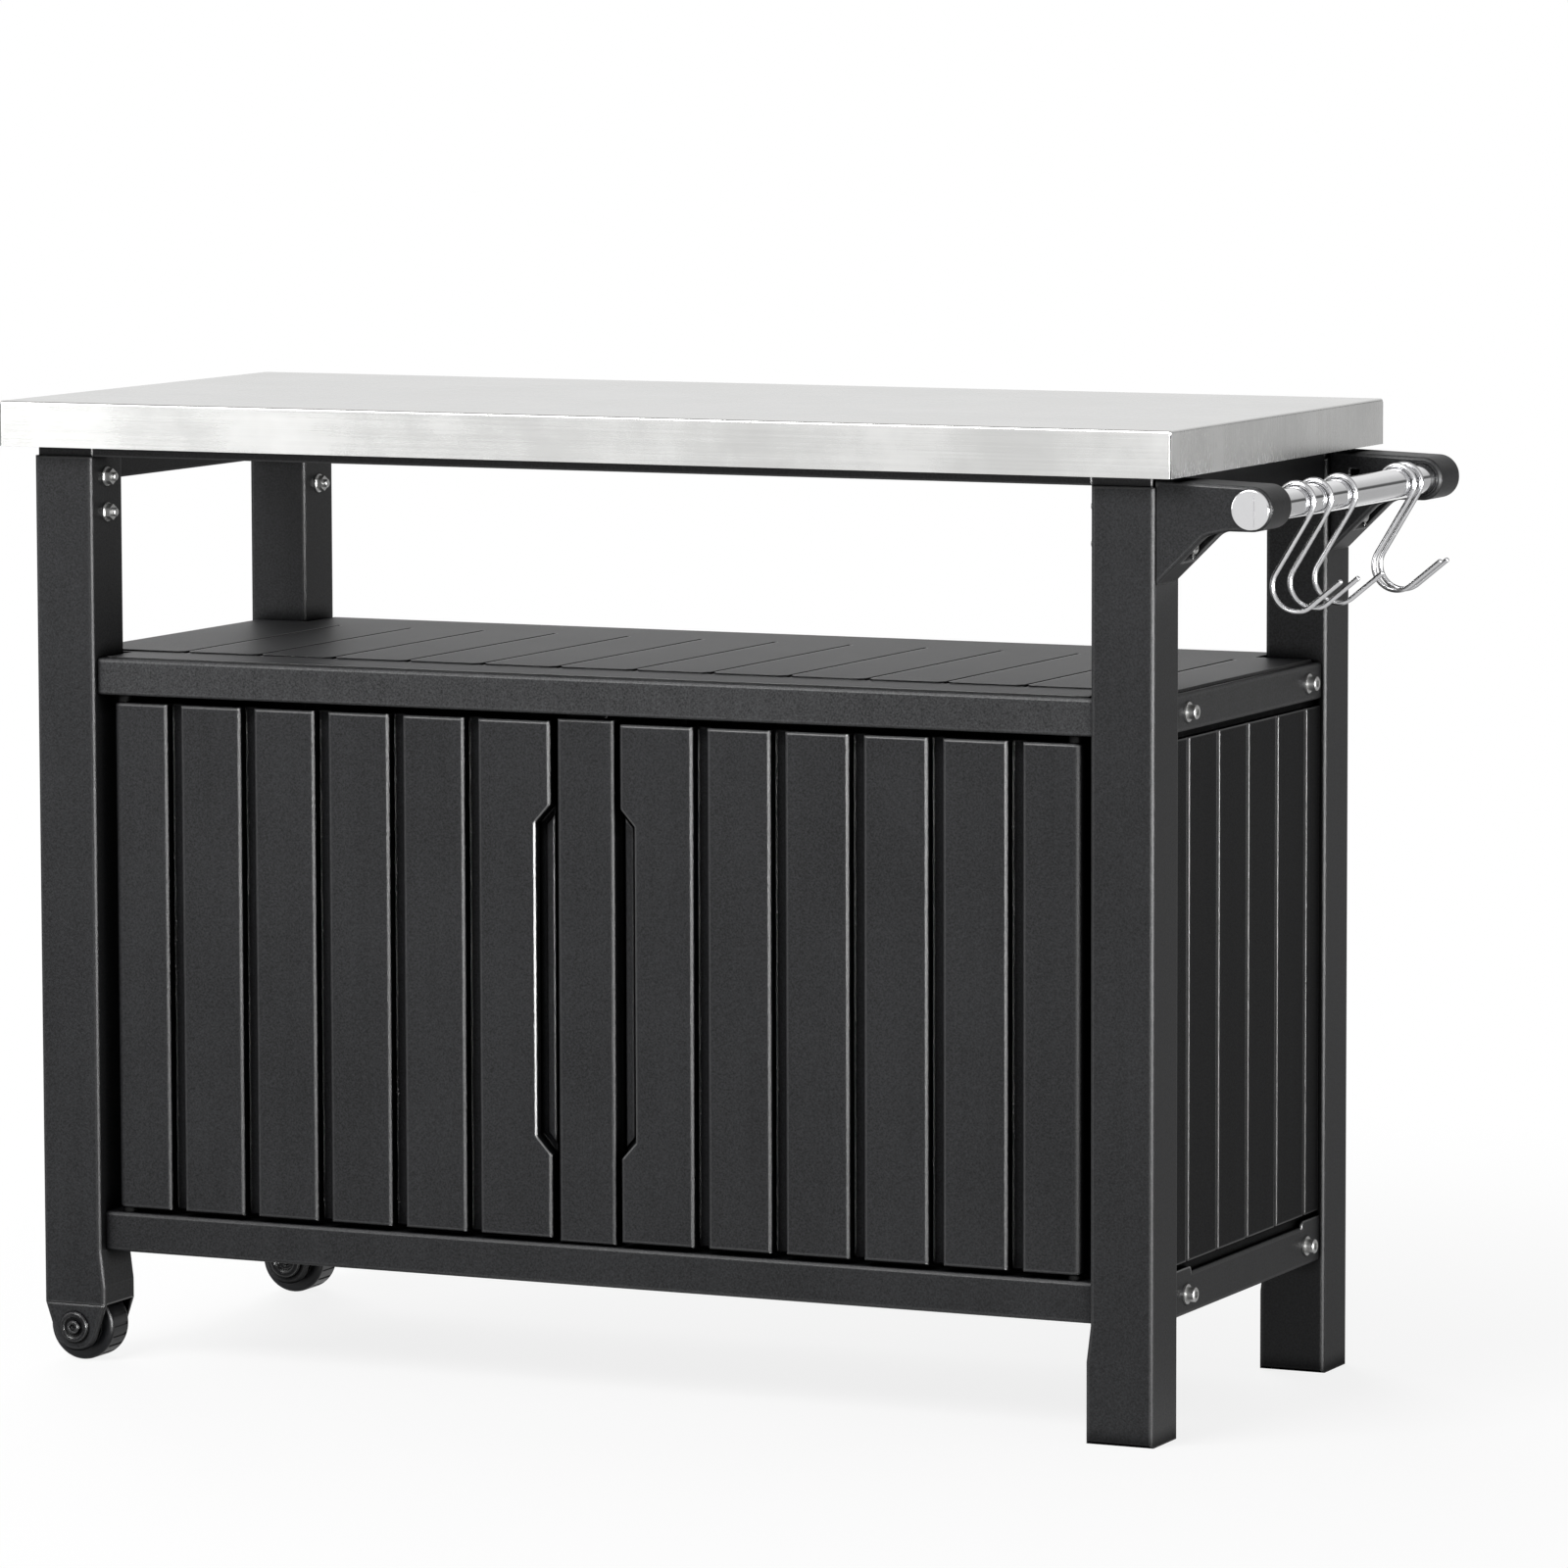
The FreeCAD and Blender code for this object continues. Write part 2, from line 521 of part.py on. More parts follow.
def add_deck(name, front_recess, low_z, height):
    """A closed deck with rounded upper and lower apron edges."""
    body = new_body(name)
    sketch = new_sketch(body, "Z", low_z)
    add_outline(sketch, deck_outline(front_recess))
    pad(sketch, height)
    front = -cell("leg_outer_y") + cell(front_recess)
    back, side = cell("deck_back_y"), cell("deck_side_x")

    def on_apron(a, b):
        level = at(a.z, b.z)
        return level and ((at(a.y, front) and at(b.y, front)) or (at(a.y, back) and at(b.y, back))
                          or (at(abs(a.x), side) and at(a.x, b.x)))

    round_edges(body, "deck_round", on_apron)
    return body


def cut_leg_mortises(body, level):
    """Mortises for the legs' tongues, and the bolt holes that cross them from the side."""
    half = "(tongue_height / 2 + tongue_gap)"
    sketch = new_sketch(body, "Z", f"{level} - {half}")
    for side_x in (-1, 1):
        for side_y in (-1, 1):
            ends_x = span("tongue_far_x + tongue_gap", "tongue_near_x - tongue_gap", side_x)
            ends_y = span("deck_edge_y + tongue_gap",
                          "leg_inner_y - tongue_length - tongue_gap", side_y)
            add_box_outline(sketch, (ends_x[0], ends_y[0]), (ends_x[1], ends_y[1]))
    pocket(sketch, f"2 * {half}")
    for start in ("deck_side_x - deck_bolt_length", "-deck_side_x - bolt_gap"):
        sketch = new_sketch(body, "X", start)
        for side_y in (-1, 1):
            add_circle(sketch, (mirrored("leg_inner_y - deck_bolt_offset", side_y), level),
                       "deck_bolt_radius + bolt_gap")
        pocket(sketch, "deck_bolt_length + bolt_gap")


def cut_panel_slots(body, low_z):
    """Slots that seat the side panels, the back panel and the door post."""
    sketch = new_sketch(body, "Z", low_z)
    far = "(panel_face_x - panel_skin + panel_slot_gap)"
    near = "(panel_face_x - panel_skin - panel_core - panel_slot_gap)"
    add_box_outline(sketch, (f"-{far}", "-deck_edge_y"), (f"-{near}", "deck_edge_y"))
    add_box_outline(sketch, (near, "-deck_edge_y"), (far, "deck_edge_y"))
    far = "(panel_face_y - panel_skin + panel_slot_gap)"
    near = "(panel_face_y - panel_skin - panel_core - panel_slot_gap)"
    add_box_outline(sketch, ("-deck_edge_x", near), ("deck_edge_x", far))
    half_x = "(post_tenon_width / 2 + panel_slot_gap)"
    half_y = "(post_tenon_thick / 2 + panel_slot_gap)"
    add_box_outline(sketch, (f"-{half_x}", f"post_middle_y - {half_y}"),
                    (half_x, f"post_middle_y + {half_y}"))
    pocket(sketch, "panel_slot_depth")


def cut_hinge_seats(body, low_z):
    """Round seats for the two hinge bushes."""
    sketch = new_sketch(body, "Z", low_z)
    for side in (-1, 1):
        add_circle(sketch, (mirrored("door_axis_x", side), "door_axis_y"), "hinge_bush_barrel")
    pocket(sketch, "hinge_bush_depth")


def cut_underside(body, low_z):
    """Rows of shallow recesses that stiffen the moulded underside."""
    span_x = "2 * (door_axis_x - hinge_bush_radius - underside_rib)"
    span_y = "(panel_face_y - panel_skin - panel_core - underside_rib - door_back_y" \
             " - catch_depth - underside_rib)"
    pitch_x = f"({span_x} + underside_rib) / recess_columns"
    pitch_y = f"({span_y} + underside_rib) / recess_rows"
    left = f"-({span_x}) / 2"
    front = "door_back_y + catch_depth + underside_rib"
    sketch = new_sketch(body, "Z", low_z)
    for row in range(int(cell("recess_rows"))):
        low = (left, f"{front} + {row} * ({pitch_y})")
        high = (f"{left} + ({pitch_x}) - underside_rib",
                f"{low[1]} + ({pitch_y}) - underside_rib")
        add_box_outline(sketch, low, high)
    column = pocket(sketch, "underside_recess")
    repeat(body, column, sketch, "H_Axis", pitch_x, "recess_columns")


def plate_outline(inset):
    """The shelf plate's plan: the deck's own, drawn in from the outer edges and the legs."""
    rim_x, rim_y = f"deck_side_x - {inset}", f"deck_back_y - {inset}"
    front = f"-leg_outer_y + shelf_front_recess + {inset}"
    inner_x, inner_y = f"deck_edge_x - {inset}", f"deck_edge_y - {inset}"
    right = [(inner_x, front), (inner_x, f"-({inner_y})"), (rim_x, f"-({inner_y})"),
             (rim_x, inner_y), (inner_x, inner_y), (inner_x, rim_y)]
    return right + [(f"-({x})", y) for x, y in reversed(right)]


def add_shelf_plate(body):
    """The shelf's raised plate, with a narrow gutter between it and the rounded rim."""
    sketch = new_sketch(body, "Z", "shelf_top_level - shelf_gutter_depth")
    add_outline(sketch, plate_outline("(shelf_ledge - shelf_gutter_width)"))
    add_outline(sketch, plate_outline("shelf_ledge"))
    pocket(sketch, "shelf_gutter_depth")
    sketch = new_sketch(body, "Z", "shelf_top_level")
    add_outline(sketch, plate_outline("shelf_ledge"))
    pad(sketch, "shelf_plate_rise")


def add_shelf_planks(body):
    """The raised planked field of the shelf, with a small chamfer at each groove's mouth."""
    rim_x, rim_y = "deck_side_x - shelf_rim", "deck_back_y - shelf_rim"
    front = "-leg_outer_y + shelf_front_recess + shelf_border"
    inner_x, inner_y = "deck_edge_x - shelf_rim", "deck_edge_y - shelf_rim"
    right = [(rim_x, front), (rim_x, inner_y), (inner_x, inner_y), (inner_x, rim_y)]
    left = [(f"-({x})", y) for x, y in reversed(right)]
    sketch = new_sketch(body, "Z", "shelf_plate_z")
    add_outline(sketch, right + left)
    pad(sketch, "shelf_relief")
    middle = "-deck_side_x + shelf_first_groove"
    sketch = new_sketch(body, "Z", "shelf_top_level")
    half = "shelf_groove_width / 2"
    end_y = "deck_back_y - shelf_back_border"
    add_outline(sketch, [
        (f"{middle} - {half}", f"{front} - cut_over"),
        (f"{middle} + {half}", f"{front} - cut_over"),
        (f"{middle} + {half}", end_y),
        (f"{middle} - {half}", end_y)])
    groove = pocket(sketch, "shelf_relief + shelf_plate_rise")
    repeat(body, groove, sketch, "H_Axis", "shelf_groove_pitch", "shelf_groove_count")
    sketch = new_sketch(body, "Z", "shelf_plate_z")
    add_outline(sketch, [
        (f"{middle} - {half} - mouth_chamfer", f"{front} - cut_over"),
        (f"{middle} + {half} + mouth_chamfer", f"{front} - cut_over"),
        (f"{middle} + {half} + mouth_chamfer", front),
        (f"{middle} + {half}", f"{front} + mouth_chamfer"),
        (f"{middle} - {half}", f"{front} + mouth_chamfer"),
        (f"{middle} - {half} - mouth_chamfer", front)])
    mouth = pocket(sketch, "shelf_relief")
    repeat(body, mouth, sketch, "H_Axis", "shelf_groove_pitch", "shelf_groove_count")


def build_shelf():
    """The middle shelf, which is also the cabinet's roof."""
    body = add_deck("shelf_deck", "shelf_front_recess", "shelf_under_z", "shelf_height")
    cut_leg_mortises(body, "shelf_middle_z")
    cut_hinge_seats(body, "shelf_under_z")
    cut_panel_slots(body, "shelf_under_z")
    add_shelf_plate(body)
    add_shelf_planks(body)
    cut_underside(body, "shelf_under_z")
    return body


def build_base():
    """The cabinet's floor, with raised cheeks where its side aprons meet the legs."""
    body = add_deck("base_deck", "base_front_recess", "base_under_z", "base_height")
    cut_leg_mortises(body, "base_middle_z")
    cut_hinge_seats(body, "base_top_level - hinge_bush_depth")
    cut_panel_slots(body, "slot_low_z")
    for side_x in (-1, 1):
        for side_y in (-1, 1):
            ends_x = span("deck_side_x", "deck_side_x - cheek_thick", side_x)
            ends_y = span("deck_edge_y", "deck_edge_y - cheek_length", side_y)
            pad_box(body, (ends_x[0], ends_y[0], "base_top_level - deck_round"),
                    (ends_x[1], ends_y[1], "base_top_level + cheek_rise"))
    top = cell("base_top_level") + cell("cheek_rise")
    side = cell("deck_side_x")
    inner = cell("deck_edge_y") - cell("cheek_length")
    round_edges(body, "cheek_thick", lambda a, b: at(a.z, top) and at(b.z, top)
                and at(a.y, b.y) and at(abs(a.y), inner)
                and abs(a.x) > side - cell("cheek_thick") - SMALL)
    cut_underside(body, "base_under_z")
    return body


# Fixed panels


def cut_panel_grooves(body, plane, low, middle, pitch, count, inward):
    """Upright V grooves, spaced evenly about the middle of a panel's outer face."""
    sketch = new_sketch(body, "Z", low)
    first = f"{middle} - ({pitch}) * ({count} - 1) / 2"
    across = [f"{first} - panel_groove_width / 2", first, f"{first} + panel_groove_width / 2"]
    face, depth = inward
    if plane == "Y":
        corners = [(across[0], face), (across[2], face), (across[1], depth)]
        axis = "H_Axis"
    else:
        corners = [(face, across[0]), (face, across[2]), (depth, across[1])]
        axis = "V_Axis"
    add_outline(sketch, corners)
    groove = pocket(sketch, "panel_high_z - panel_low_z + 2 * cut_over")
    repeat(body, groove, sketch, axis, pitch, count)


def build_side_panel(name, side):
    """A grooved side panel whose core stands in the slots of the base and the shelf."""
    body = new_body(name)
    half = "panel_half_y"
    skin = span("panel_face_x", "panel_face_x - panel_skin", side)
    core = span("panel_face_x - panel_skin", "panel_face_x - panel_skin - panel_core", side)
    pad_box(body, (core[0], f"-({half})", "slot_low_z"), (core[1], half, "slot_high_z"))
    pad_box(body, (skin[0], f"-({half})", "panel_low_z"), (skin[1], half, "panel_high_z"))
    face = mirrored("panel_face_x + groove_over", side)
    depth = mirrored("panel_face_x - panel_groove_depth", side)
    cut_panel_grooves(body, "X", "panel_low_z - cut_over", "0", "side_groove_pitch",
                      "side_groove_count", (face, depth))
    return body


def build_back_panel():
    """The grooved back panel, seated like the side panels."""
    body = new_body("back_panel")
    half = "panel_half_x"
    core = "panel_face_y - panel_skin"
    pad_box(body, (f"-({half})", f"{core} - panel_core", "slot_low_z"),
            (half, core, "slot_high_z"))
    pad_box(body, (f"-({half})", core, "panel_low_z"), (half, "panel_face_y", "panel_high_z"))
    cut_panel_grooves(body, "Y", "panel_low_z - cut_over", "0", "back_groove_pitch",
                      "back_groove_count", ("panel_face_y + groove_over",
                                            "panel_face_y - panel_groove_depth"))
    return body


def build_post():
    """The fixed post between the doors, tenoned into the base and the shelf."""
    body = new_body("centre_post")
    pad_box(body, ("-post_width / 2", "post_face_y", "post_low_z"),
            ("post_width / 2", "post_face_y + post_thick", "post_high_z"))
    face = cell("post_face_y")
    round_edges(body, "post_round", lambda a, b: at(a.y, face) and at(b.y, face))
    half_x, half_y = "post_tenon_width / 2", "post_tenon_thick / 2"
    pad_box(body, (f"-{half_x}", f"post_middle_y - {half_y}", "slot_low_z"),
            (half_x, f"post_middle_y + {half_y}", "slot_high_z"))
    return body


# Doors


def grip_ends(side, inward):
    """Half of the grip's outline, from its deep corner to beyond the free edge, drawn in."""
    half = f"grip_length / 2 - {inward} * grip_turn"
    return [(mirrored(f"grip_x - {inward}", side),
             f"({half} - grip_slope * (grip_depth - {inward}) / grip_depth)"),
            (mirrored("door_inner_x", side), f"({half})"),
            (mirrored("door_inner_x - cut_over", side), f"({half})")]


def cut_grip(body, side):
    """The finger grip in a door's free edge: a channel before a low lip, and an undercut."""
    outer, inner = grip_ends(side, "0"), grip_ends(side, "grip_channel")
    upper = [(x, f"door_middle_z + {z}") for x, z in outer]
    lower = [(x, f"door_middle_z - {z}") for x, z in outer]
    lip_upper = [(x, f"door_middle_z + {z}") for x, z in inner]
    lip_lower = [(x, f"door_middle_z - {z}") for x, z in inner]
    sketch = new_sketch(body, "Y", "door_face_y - cut_over")
    add_outline(sketch, lower[::-1] + upper)
    pocket(sketch, "grip_lip_drop + cut_over")
    sketch = new_sketch(body, "Y", "door_face_y + grip_lip_drop - cut_over")
    add_outline(sketch, lower[::-1] + upper + lip_upper[::-1] + lip_lower)
    pocket(sketch, "door_thick - grip_floor - grip_lip_drop + cut_over")
    half = "(grip_length / 2 - grip_slope)"
    ends = span("grip_x + grip_undercut", "grip_x - grip_overlap", side)
    cut_box(body, (ends[0], "door_face_y + grip_wall", f"door_middle_z - {half}"),
            (ends[1], "door_back_y - grip_floor", f"door_middle_z + {half}"))
    lip = cell("door_face_y") + cell("grip_lip_drop")
    round_edges(body, "grip_lip_round", lambda a, b: at(a.y, lip) and at(b.y, lip))


def build_door(name, side):
    """A planked door with rounded planks, a barrel-shaped hinge edge and a finger grip."""
    body = new_body(name)
    ends = span("door_outer_x", "door_inner_x", side)
    pad_box(body, (ends[0], "door_face_y", "door_low_z"), (ends[1], "door_back_y", "door_high_z"))
    hinge_x = side * cell("door_outer_x")
    round_edges(body, "door_thick / 2 - door_edge_flat",
                lambda a, b: at(a.x, hinge_x) and at(b.x, hinge_x)
                and at(a.y, b.y) and not at(a.z, b.z))
    face = cell("door_face_y")
    low_z, high_z = cell("door_low_z"), cell("door_high_z")
    first = "door_inner_x + door_wide_plank"
    near, far = span(f"{first} + door_groove_width", first, side)
    sketch = new_sketch(body, "Z", "door_low_z")
    add_box_outline(sketch, (near, "door_face_y - cut_over"),
                    (far, "door_face_y + door_groove_depth"))
    groove = pocket(sketch, "door_high_z - door_low_z")
    pattern = repeat(body, groove, sketch, "H_Axis", "door_plank_pitch",
                     "door_groove_count")
    pattern.Reversed = side < 0
    round_edges(body, "door_round", lambda a, b: at(a.y, face) and at(b.y, face)
                and (at(a.z, low_z) or at(a.z, high_z) or at(a.x, b.x)))
    cut_grip(body, side)
    for start in ("door_low_z", "door_high_z - hinge_pin_depth"):
        cut_bore(body, "Z", start, (mirrored("door_axis_x", side), "door_axis_y"),
                 "hinge_pin_radius", "hinge_pin_depth")
    return body


def revolved(points):
    """A solid of revolution about Z from (radius, height) points."""
    outline = [FreeCAD.Vector(radius, 0, height) for radius, height in points]
    face = Part.Face(Part.makePolygon(outline + [outline[0]]))
    return face.revolve(FreeCAD.Vector(0, 0, 0), FreeCAD.Vector(0, 0, 1), 360)


def stood(solid, base, direction):
    """The same solid with its Z axis turned along a direction and its origin at a base."""
    turn = FreeCAD.Rotation(FreeCAD.Vector(0, 0, 1), FreeCAD.Vector(*direction))
    moved = FreeCAD.Placement(FreeCAD.Vector(*base), turn)
    return solid.transformed(moved.toMatrix(), copy=True)


def group(name, solids):
    """Separate solids of one kind, kept in one node."""
    feature = doc.addObject("Part::Feature", name)
    feature.Label = name
    feature.Shape = solids[0] if len(solids) == 1 else Part.makeCompound(solids)
    feature.setExpression("Placement.Base.x", bound("origin_shift"))
    return feature


def build_hinges():
    """Pins pressed into the doors, and flanged bushes seated in the base and the shelf."""
    radius, play = cell("hinge_pin_radius"), cell("hinge_play")
    barrel, flange = cell("hinge_bush_barrel"), cell("hinge_bush_radius")
    depth, bore = cell("hinge_bush_depth"), radius + cell("hinge_fit")
    inset = cell("hinge_pin_depth")
    bushes = []
    made = []
    for name, side in (("left_hinge_pins", -1), ("right_hinge_pins", 1)):
        centre = (side * cell("door_axis_x"), cell("door_axis_y"))
        pins = []
        for deck, door, up in ((cell("base_top_level"), cell("door_low_z"), 1),
                               (cell("shelf_under_z"), cell("door_high_z"), -1)):
            gap = abs(door - deck)
            reach = gap + depth - 2 * play
            pin = revolved([(0, -reach), (radius, -reach), (radius, inset), (0, inset)])
            pins.append(stood(pin, centre + (door,), (0, 0, up)))
            bush = revolved([(bore, -depth), (barrel, -depth), (barrel, 0), (flange, 0),
                             (flange, gap - play), (bore, gap - play)])
            bushes.append(stood(bush, centre + (deck,), (0, 0, up)))
        made.append(group(name, pins))
    made.append(group("hinge_bushes", bushes))
    return made


def build_catches():
    """Magnetic catches under the shelf, and the strike plates on the backs of the doors."""
    made = []
    for word, side in (("left", -1), ("right", 1)):
        ends = span("catch_inner_x + catch_length", "catch_inner_x", side)
        strike = new_body(f"{word}_door_strike")
        pad_box(strike, (ends[0], "door_back_y", "strike_high_z - strike_height"),
                (ends[1], "strike_back_y", "strike_high_z"))
        catch = new_body(f"{word}_door_catch")
        pad_box(catch, (ends[0], "catch_face_y", "shelf_under_z - catch_drop"),
                (ends[1], "catch_face_y + catch_depth", "shelf_under_z"))
        made += [strike, catch]
    return made


# Towel bar, its arms and the S-hooks


def build_arm(name, side):
    """A gusset bracket: a root on the leg, a round bar eye and a channel under its diagonal."""
    body = new_body(name)
    low_y = mirrored("arm_outer_y" if side < 0 else "arm_inner_y", side)
    root = "leg_outer_x"
    sketch = new_sketch(body, "Y", low_y)
    add_outline(sketch, [
        (root, "arm_root_z"),
        (f"{root} + arm_knee_x", "bar_level - arm_knee_drop"),
        (f"{root} + arm_chin_x", "bar_level - arm_radius"),
        ("bar_x + arm_radius", "bar_level - arm_radius"),
        ("bar_x + arm_radius", "bar_level + arm_radius"),
        (root, "arm_top_z")])
    pad(sketch, "arm_width")
    root_x, end_x = cell("leg_outer_x"), cell("bar_x") + cell("arm_radius")
    round_edges(body, "arm_knee_round", lambda a, b: at(a.x, b.x) and at(a.z, b.z)
                and root_x + SMALL < a.x < end_x - SMALL)
    round_edges(body, "arm_radius - arm_eye_flat", lambda a, b: at(a.x, end_x)
                and at(b.x, end_x) and at(a.z, b.z))
    faces = [side * cell("arm_outer_y"), side * cell("arm_inner_y")]
    round_edges(body, "arm_round", lambda a, b: not (at(a.x, root_x) and at(b.x, root_x))
                and any(at(a.y, face) and at(b.y, face) for face in faces))
    cut_bore(body, "Y", f"{low_y} - arm_round", ("bar_x", "bar_level"),
             "bar_radius + bar_bore_gap", "arm_width + 2 * arm_round")
    middle = mirrored("arm_middle_y", side)
    sketch = new_sketch(body, "Y", f"{middle} - arm_channel_width / 2")
    add_outline(sketch, [
        ("arm_seat_x", "arm_root_z"),
        ("arm_seat_x", "lower_bolt_z + head_room"),
        ("arm_seat_x + arm_channel_step", "bar_level - arm_channel_drop"),
        (f"{root} + arm_channel_end", "bar_level - arm_channel_drop"),
        (f"{root} + arm_channel_end", "arm_root_z")])
    pocket(sketch, "arm_channel_width")
    ends = (low_y, f"{low_y} + arm_width / 2 + head_room")
    if side < 0:
        ends = (f"{low_y} + arm_width / 2 - head_room", f"{low_y} + arm_width")
    cut_box(body, ("arm_seat_x", ends[0], "upper_bolt_z - head_room"),
            ("arm_seat_x + bolt_head_height + 2 * bolt_gap", ends[1],
             "upper_bolt_z + head_room"))
    for level in ("upper_bolt_z", "lower_bolt_z"):
        cut_bore(body, "X", f"{root} - bolt_gap", (mirrored("leg_middle_y", side), level),
                 "bolt_radius + bolt_gap", "arm_root_wall + 2 * bolt_gap")
    return body


def build_bar():
    """The towel bar: a tube that ends flush with the outer faces of both arms."""
    body = new_body("handle_bar")
    sketch = new_sketch(body, "Y", "-arm_outer_y")
    add_circle(sketch, ("bar_x", "bar_level"), "bar_radius")
    add_circle(sketch, ("bar_x", "bar_level"), "bar_radius - bar_wall")
    pad(sketch, "2 * arm_outer_y")
    return body


def build_plug(name, side):
    """An end plug: a disc with an upright ridge and a neck inside the tube."""
    body = new_body(name)
    face, centre = mirrored("arm_outer_y", side), ("bar_x", "bar_level")
    disc_low = f"{face} - plug_thick" if side < 0 else face
    neck_low = face if side < 0 else f"{face} - plug_neck"
    ridge_low = f"{face} - plug_thick - plug_ridge_rise" if side < 0 else f"{face} + plug_thick"
    sketch = new_sketch(body, "Y", disc_low)
    add_circle(sketch, centre, "plug_radius")
    pad(sketch, "plug_thick")
    outer = side * (cell("arm_outer_y") + cell("plug_thick"))
    disc = body.Tip
    doc.recompute()
    rim = [f"Edge{index + 1}" for index, edge in enumerate(disc.Shape.Edges)
           if len(edge.Vertexes) == 1 and at(edge.Vertexes[0].Y, outer)]
    rounded = body.newObject("PartDesign::Fillet", name + "_round")
    rounded.Base = (disc, rim)
    rounded.setExpression("Radius", bound("plug_thick / 2"))
    sketch = new_sketch(body, "Y", neck_low)
    add_circle(sketch, centre, "bar_radius - bar_wall - plug_neck_gap")
    pad(sketch, "plug_neck")
    sketch = new_sketch(body, "Y", ridge_low)
    half_z = "(plug_radius - plug_thick / 2 - plug_ridge_rise)"
    add_box_outline(sketch, ("bar_x - plug_ridge_width / 2", f"bar_level - {half_z}"),
                    ("bar_x + plug_ridge_width / 2", f"bar_level + {half_z}"))
    pad(sketch, "plug_ridge_rise")
    return body


def build_hook(name, place):
    """One S-hook of round wire: a loop over the bar, a slanted shank, a bend and a straight tip."""
    turn, low = cell("hook_turn_radius"), cell("hook_low_radius")
    wire = cell("hook_wire_radius")
    centre = FreeCAD.Vector(-cell("hook_low_offset"), 0, -cell("hook_drop"))
    lean = math.asin((turn + low) / centre.Length)
    lean -= math.atan2(centre.x, -centre.z)

    def on_circle(middle, radius, angle):
        return middle + FreeCAD.Vector(radius * math.cos(angle), 0, radius * math.sin(angle))

    start = math.radians(cell("hook_curl_angle"))
    top = FreeCAD.Vector(0, 0, 0)
    first = on_circle(top, turn, start)
    crown = on_circle(top, turn, (start - lean) / 2)
    shank_high = on_circle(top, turn, -lean)
    shank_low = on_circle(centre, low, math.pi - lean)
    tip_angle = math.radians(cell("hook_tip_angle"))
    bend_end = on_circle(centre, low, tip_angle - math.pi / 2)
    bend_middle = on_circle(centre, low, (math.pi - lean + tip_angle + 3 * math.pi / 2) / 2)
    direction = FreeCAD.Vector(math.cos(tip_angle), 0, math.sin(tip_angle))
    last = bend_end + direction * cell("hook_tip_length")
    path = Part.Wire([
        Part.Arc(first, crown, shank_high).toShape(),
        Part.LineSegment(shank_high, shank_low).toShape(),
        Part.Arc(shank_low, bend_middle, bend_end).toShape(),
        Part.LineSegment(bend_end, last).toShape()])
    heading = FreeCAD.Vector(math.sin(start), 0, -math.cos(start))
    section = Part.Wire([Part.makeCircle(wire, first, heading)])
    solid = path.makePipeShell([section], True, True)
    for end in (first, last):
        solid = solid.fuse(Part.makeSphere(wire, end))
    feature = group(name, [solid.Solids[0]])
    feature.setExpression("Placement.Base.x", bound("origin_shift + bar_x"))
    feature.setExpression("Placement.Base.y", bound(place))
    feature.setExpression("Placement.Base.z", bound("bar_level"))
    return feature


# Wheels


def place_wheel(body, side):
    """Move a body made about its own origin onto an axle."""
    body.setExpression("Placement.Base.x", bound("origin_shift - axle_x"))
    body.setExpression("Placement.Base.y", bound(mirrored("leg_middle_y", side)))
    body.setExpression("Placement.Base.z", bound("wheel_radius"))


def build_tyre(name, side):
    """A tyre with rounded shoulders and grooves across its tread."""
    body = doc.addObject("PartDesign::Body", name)
    body.Label = name
    sketch = new_sketch(body, "Y", "-wheel_width / 2")
    add_circle(sketch, ("0", "0"), "wheel_radius")
    pad(sketch, "wheel_width")
    doc.recompute()
    disc = body.Tip
    rims = [f"Edge{index + 1}" for index, edge in enumerate(disc.Shape.Edges)
            if len(edge.Vertexes) == 1]
    rounded = body.newObject("PartDesign::Fillet", name + "_round")
    rounded.Base = (disc, rims)
    rounded.setExpression("Radius", bound("tyre_shoulder"))
    cut_bore(body, "Y", "-wheel_width / 2 - cut_over", ("0", "0"), "tyre_bore_radius",
             "wheel_width + 2 * cut_over")
    sketch = new_sketch(body, "Y", "-tread_band / 2")
    add_box_outline(sketch, ("-tread_groove_width / 2", "wheel_radius - tread_depth"),
                    ("tread_groove_width / 2", "wheel_radius + tread_depth"))
    groove = pocket(sketch, "tread_band")
    pattern = body.newObject("PartDesign::PolarPattern", name + "_ring")
    pattern.Originals = [groove]
    pattern.Axis = (sketch, ["N_Axis"])
    pattern.Angle = 360
    pattern.setExpression("Occurrences", bound("tread_count"))
    body.Tip = pattern
    place_wheel(body, side)
    return body


def build_hub(name, side):
    """A hub with a bore for the axle and a ring recess in each face."""
    half, bore = cell("wheel_width") / 2, cell("axle_radius") + cell("wheel_bore_gap")
    rim, boss = cell("tyre_bore_radius"), cell("fork_boss_radius")
    lip, recess = cell("hub_lip"), cell("hub_recess")
    profile = [(bore, -half), (boss, -half), (boss + recess / 2, recess - half),
               (rim - lip, recess - half), (rim - lip, -half), (rim, -half)]
    outline = profile + [(radius, -height) for radius, height in reversed(profile)]
    feature = group(name, [stood(revolved(outline), (0, 0, 0), (0, 1, 0))])
    place_wheel(feature, side)
    return feature


# Bolts, nuts and washers


def hexagon(width, low, high):
    """A six-sided prism about Z, its width measured across the flats."""
    reach = width / math.sqrt(3)
    corners = [FreeCAD.Vector(reach * math.cos(step * math.pi / 3),
                              reach * math.sin(step * math.pi / 3), low) for step in range(6)]
    face = Part.Face(Part.makePolygon(corners + [corners[0]]))
    return face.extrude(FreeCAD.Vector(0, 0, high - low))


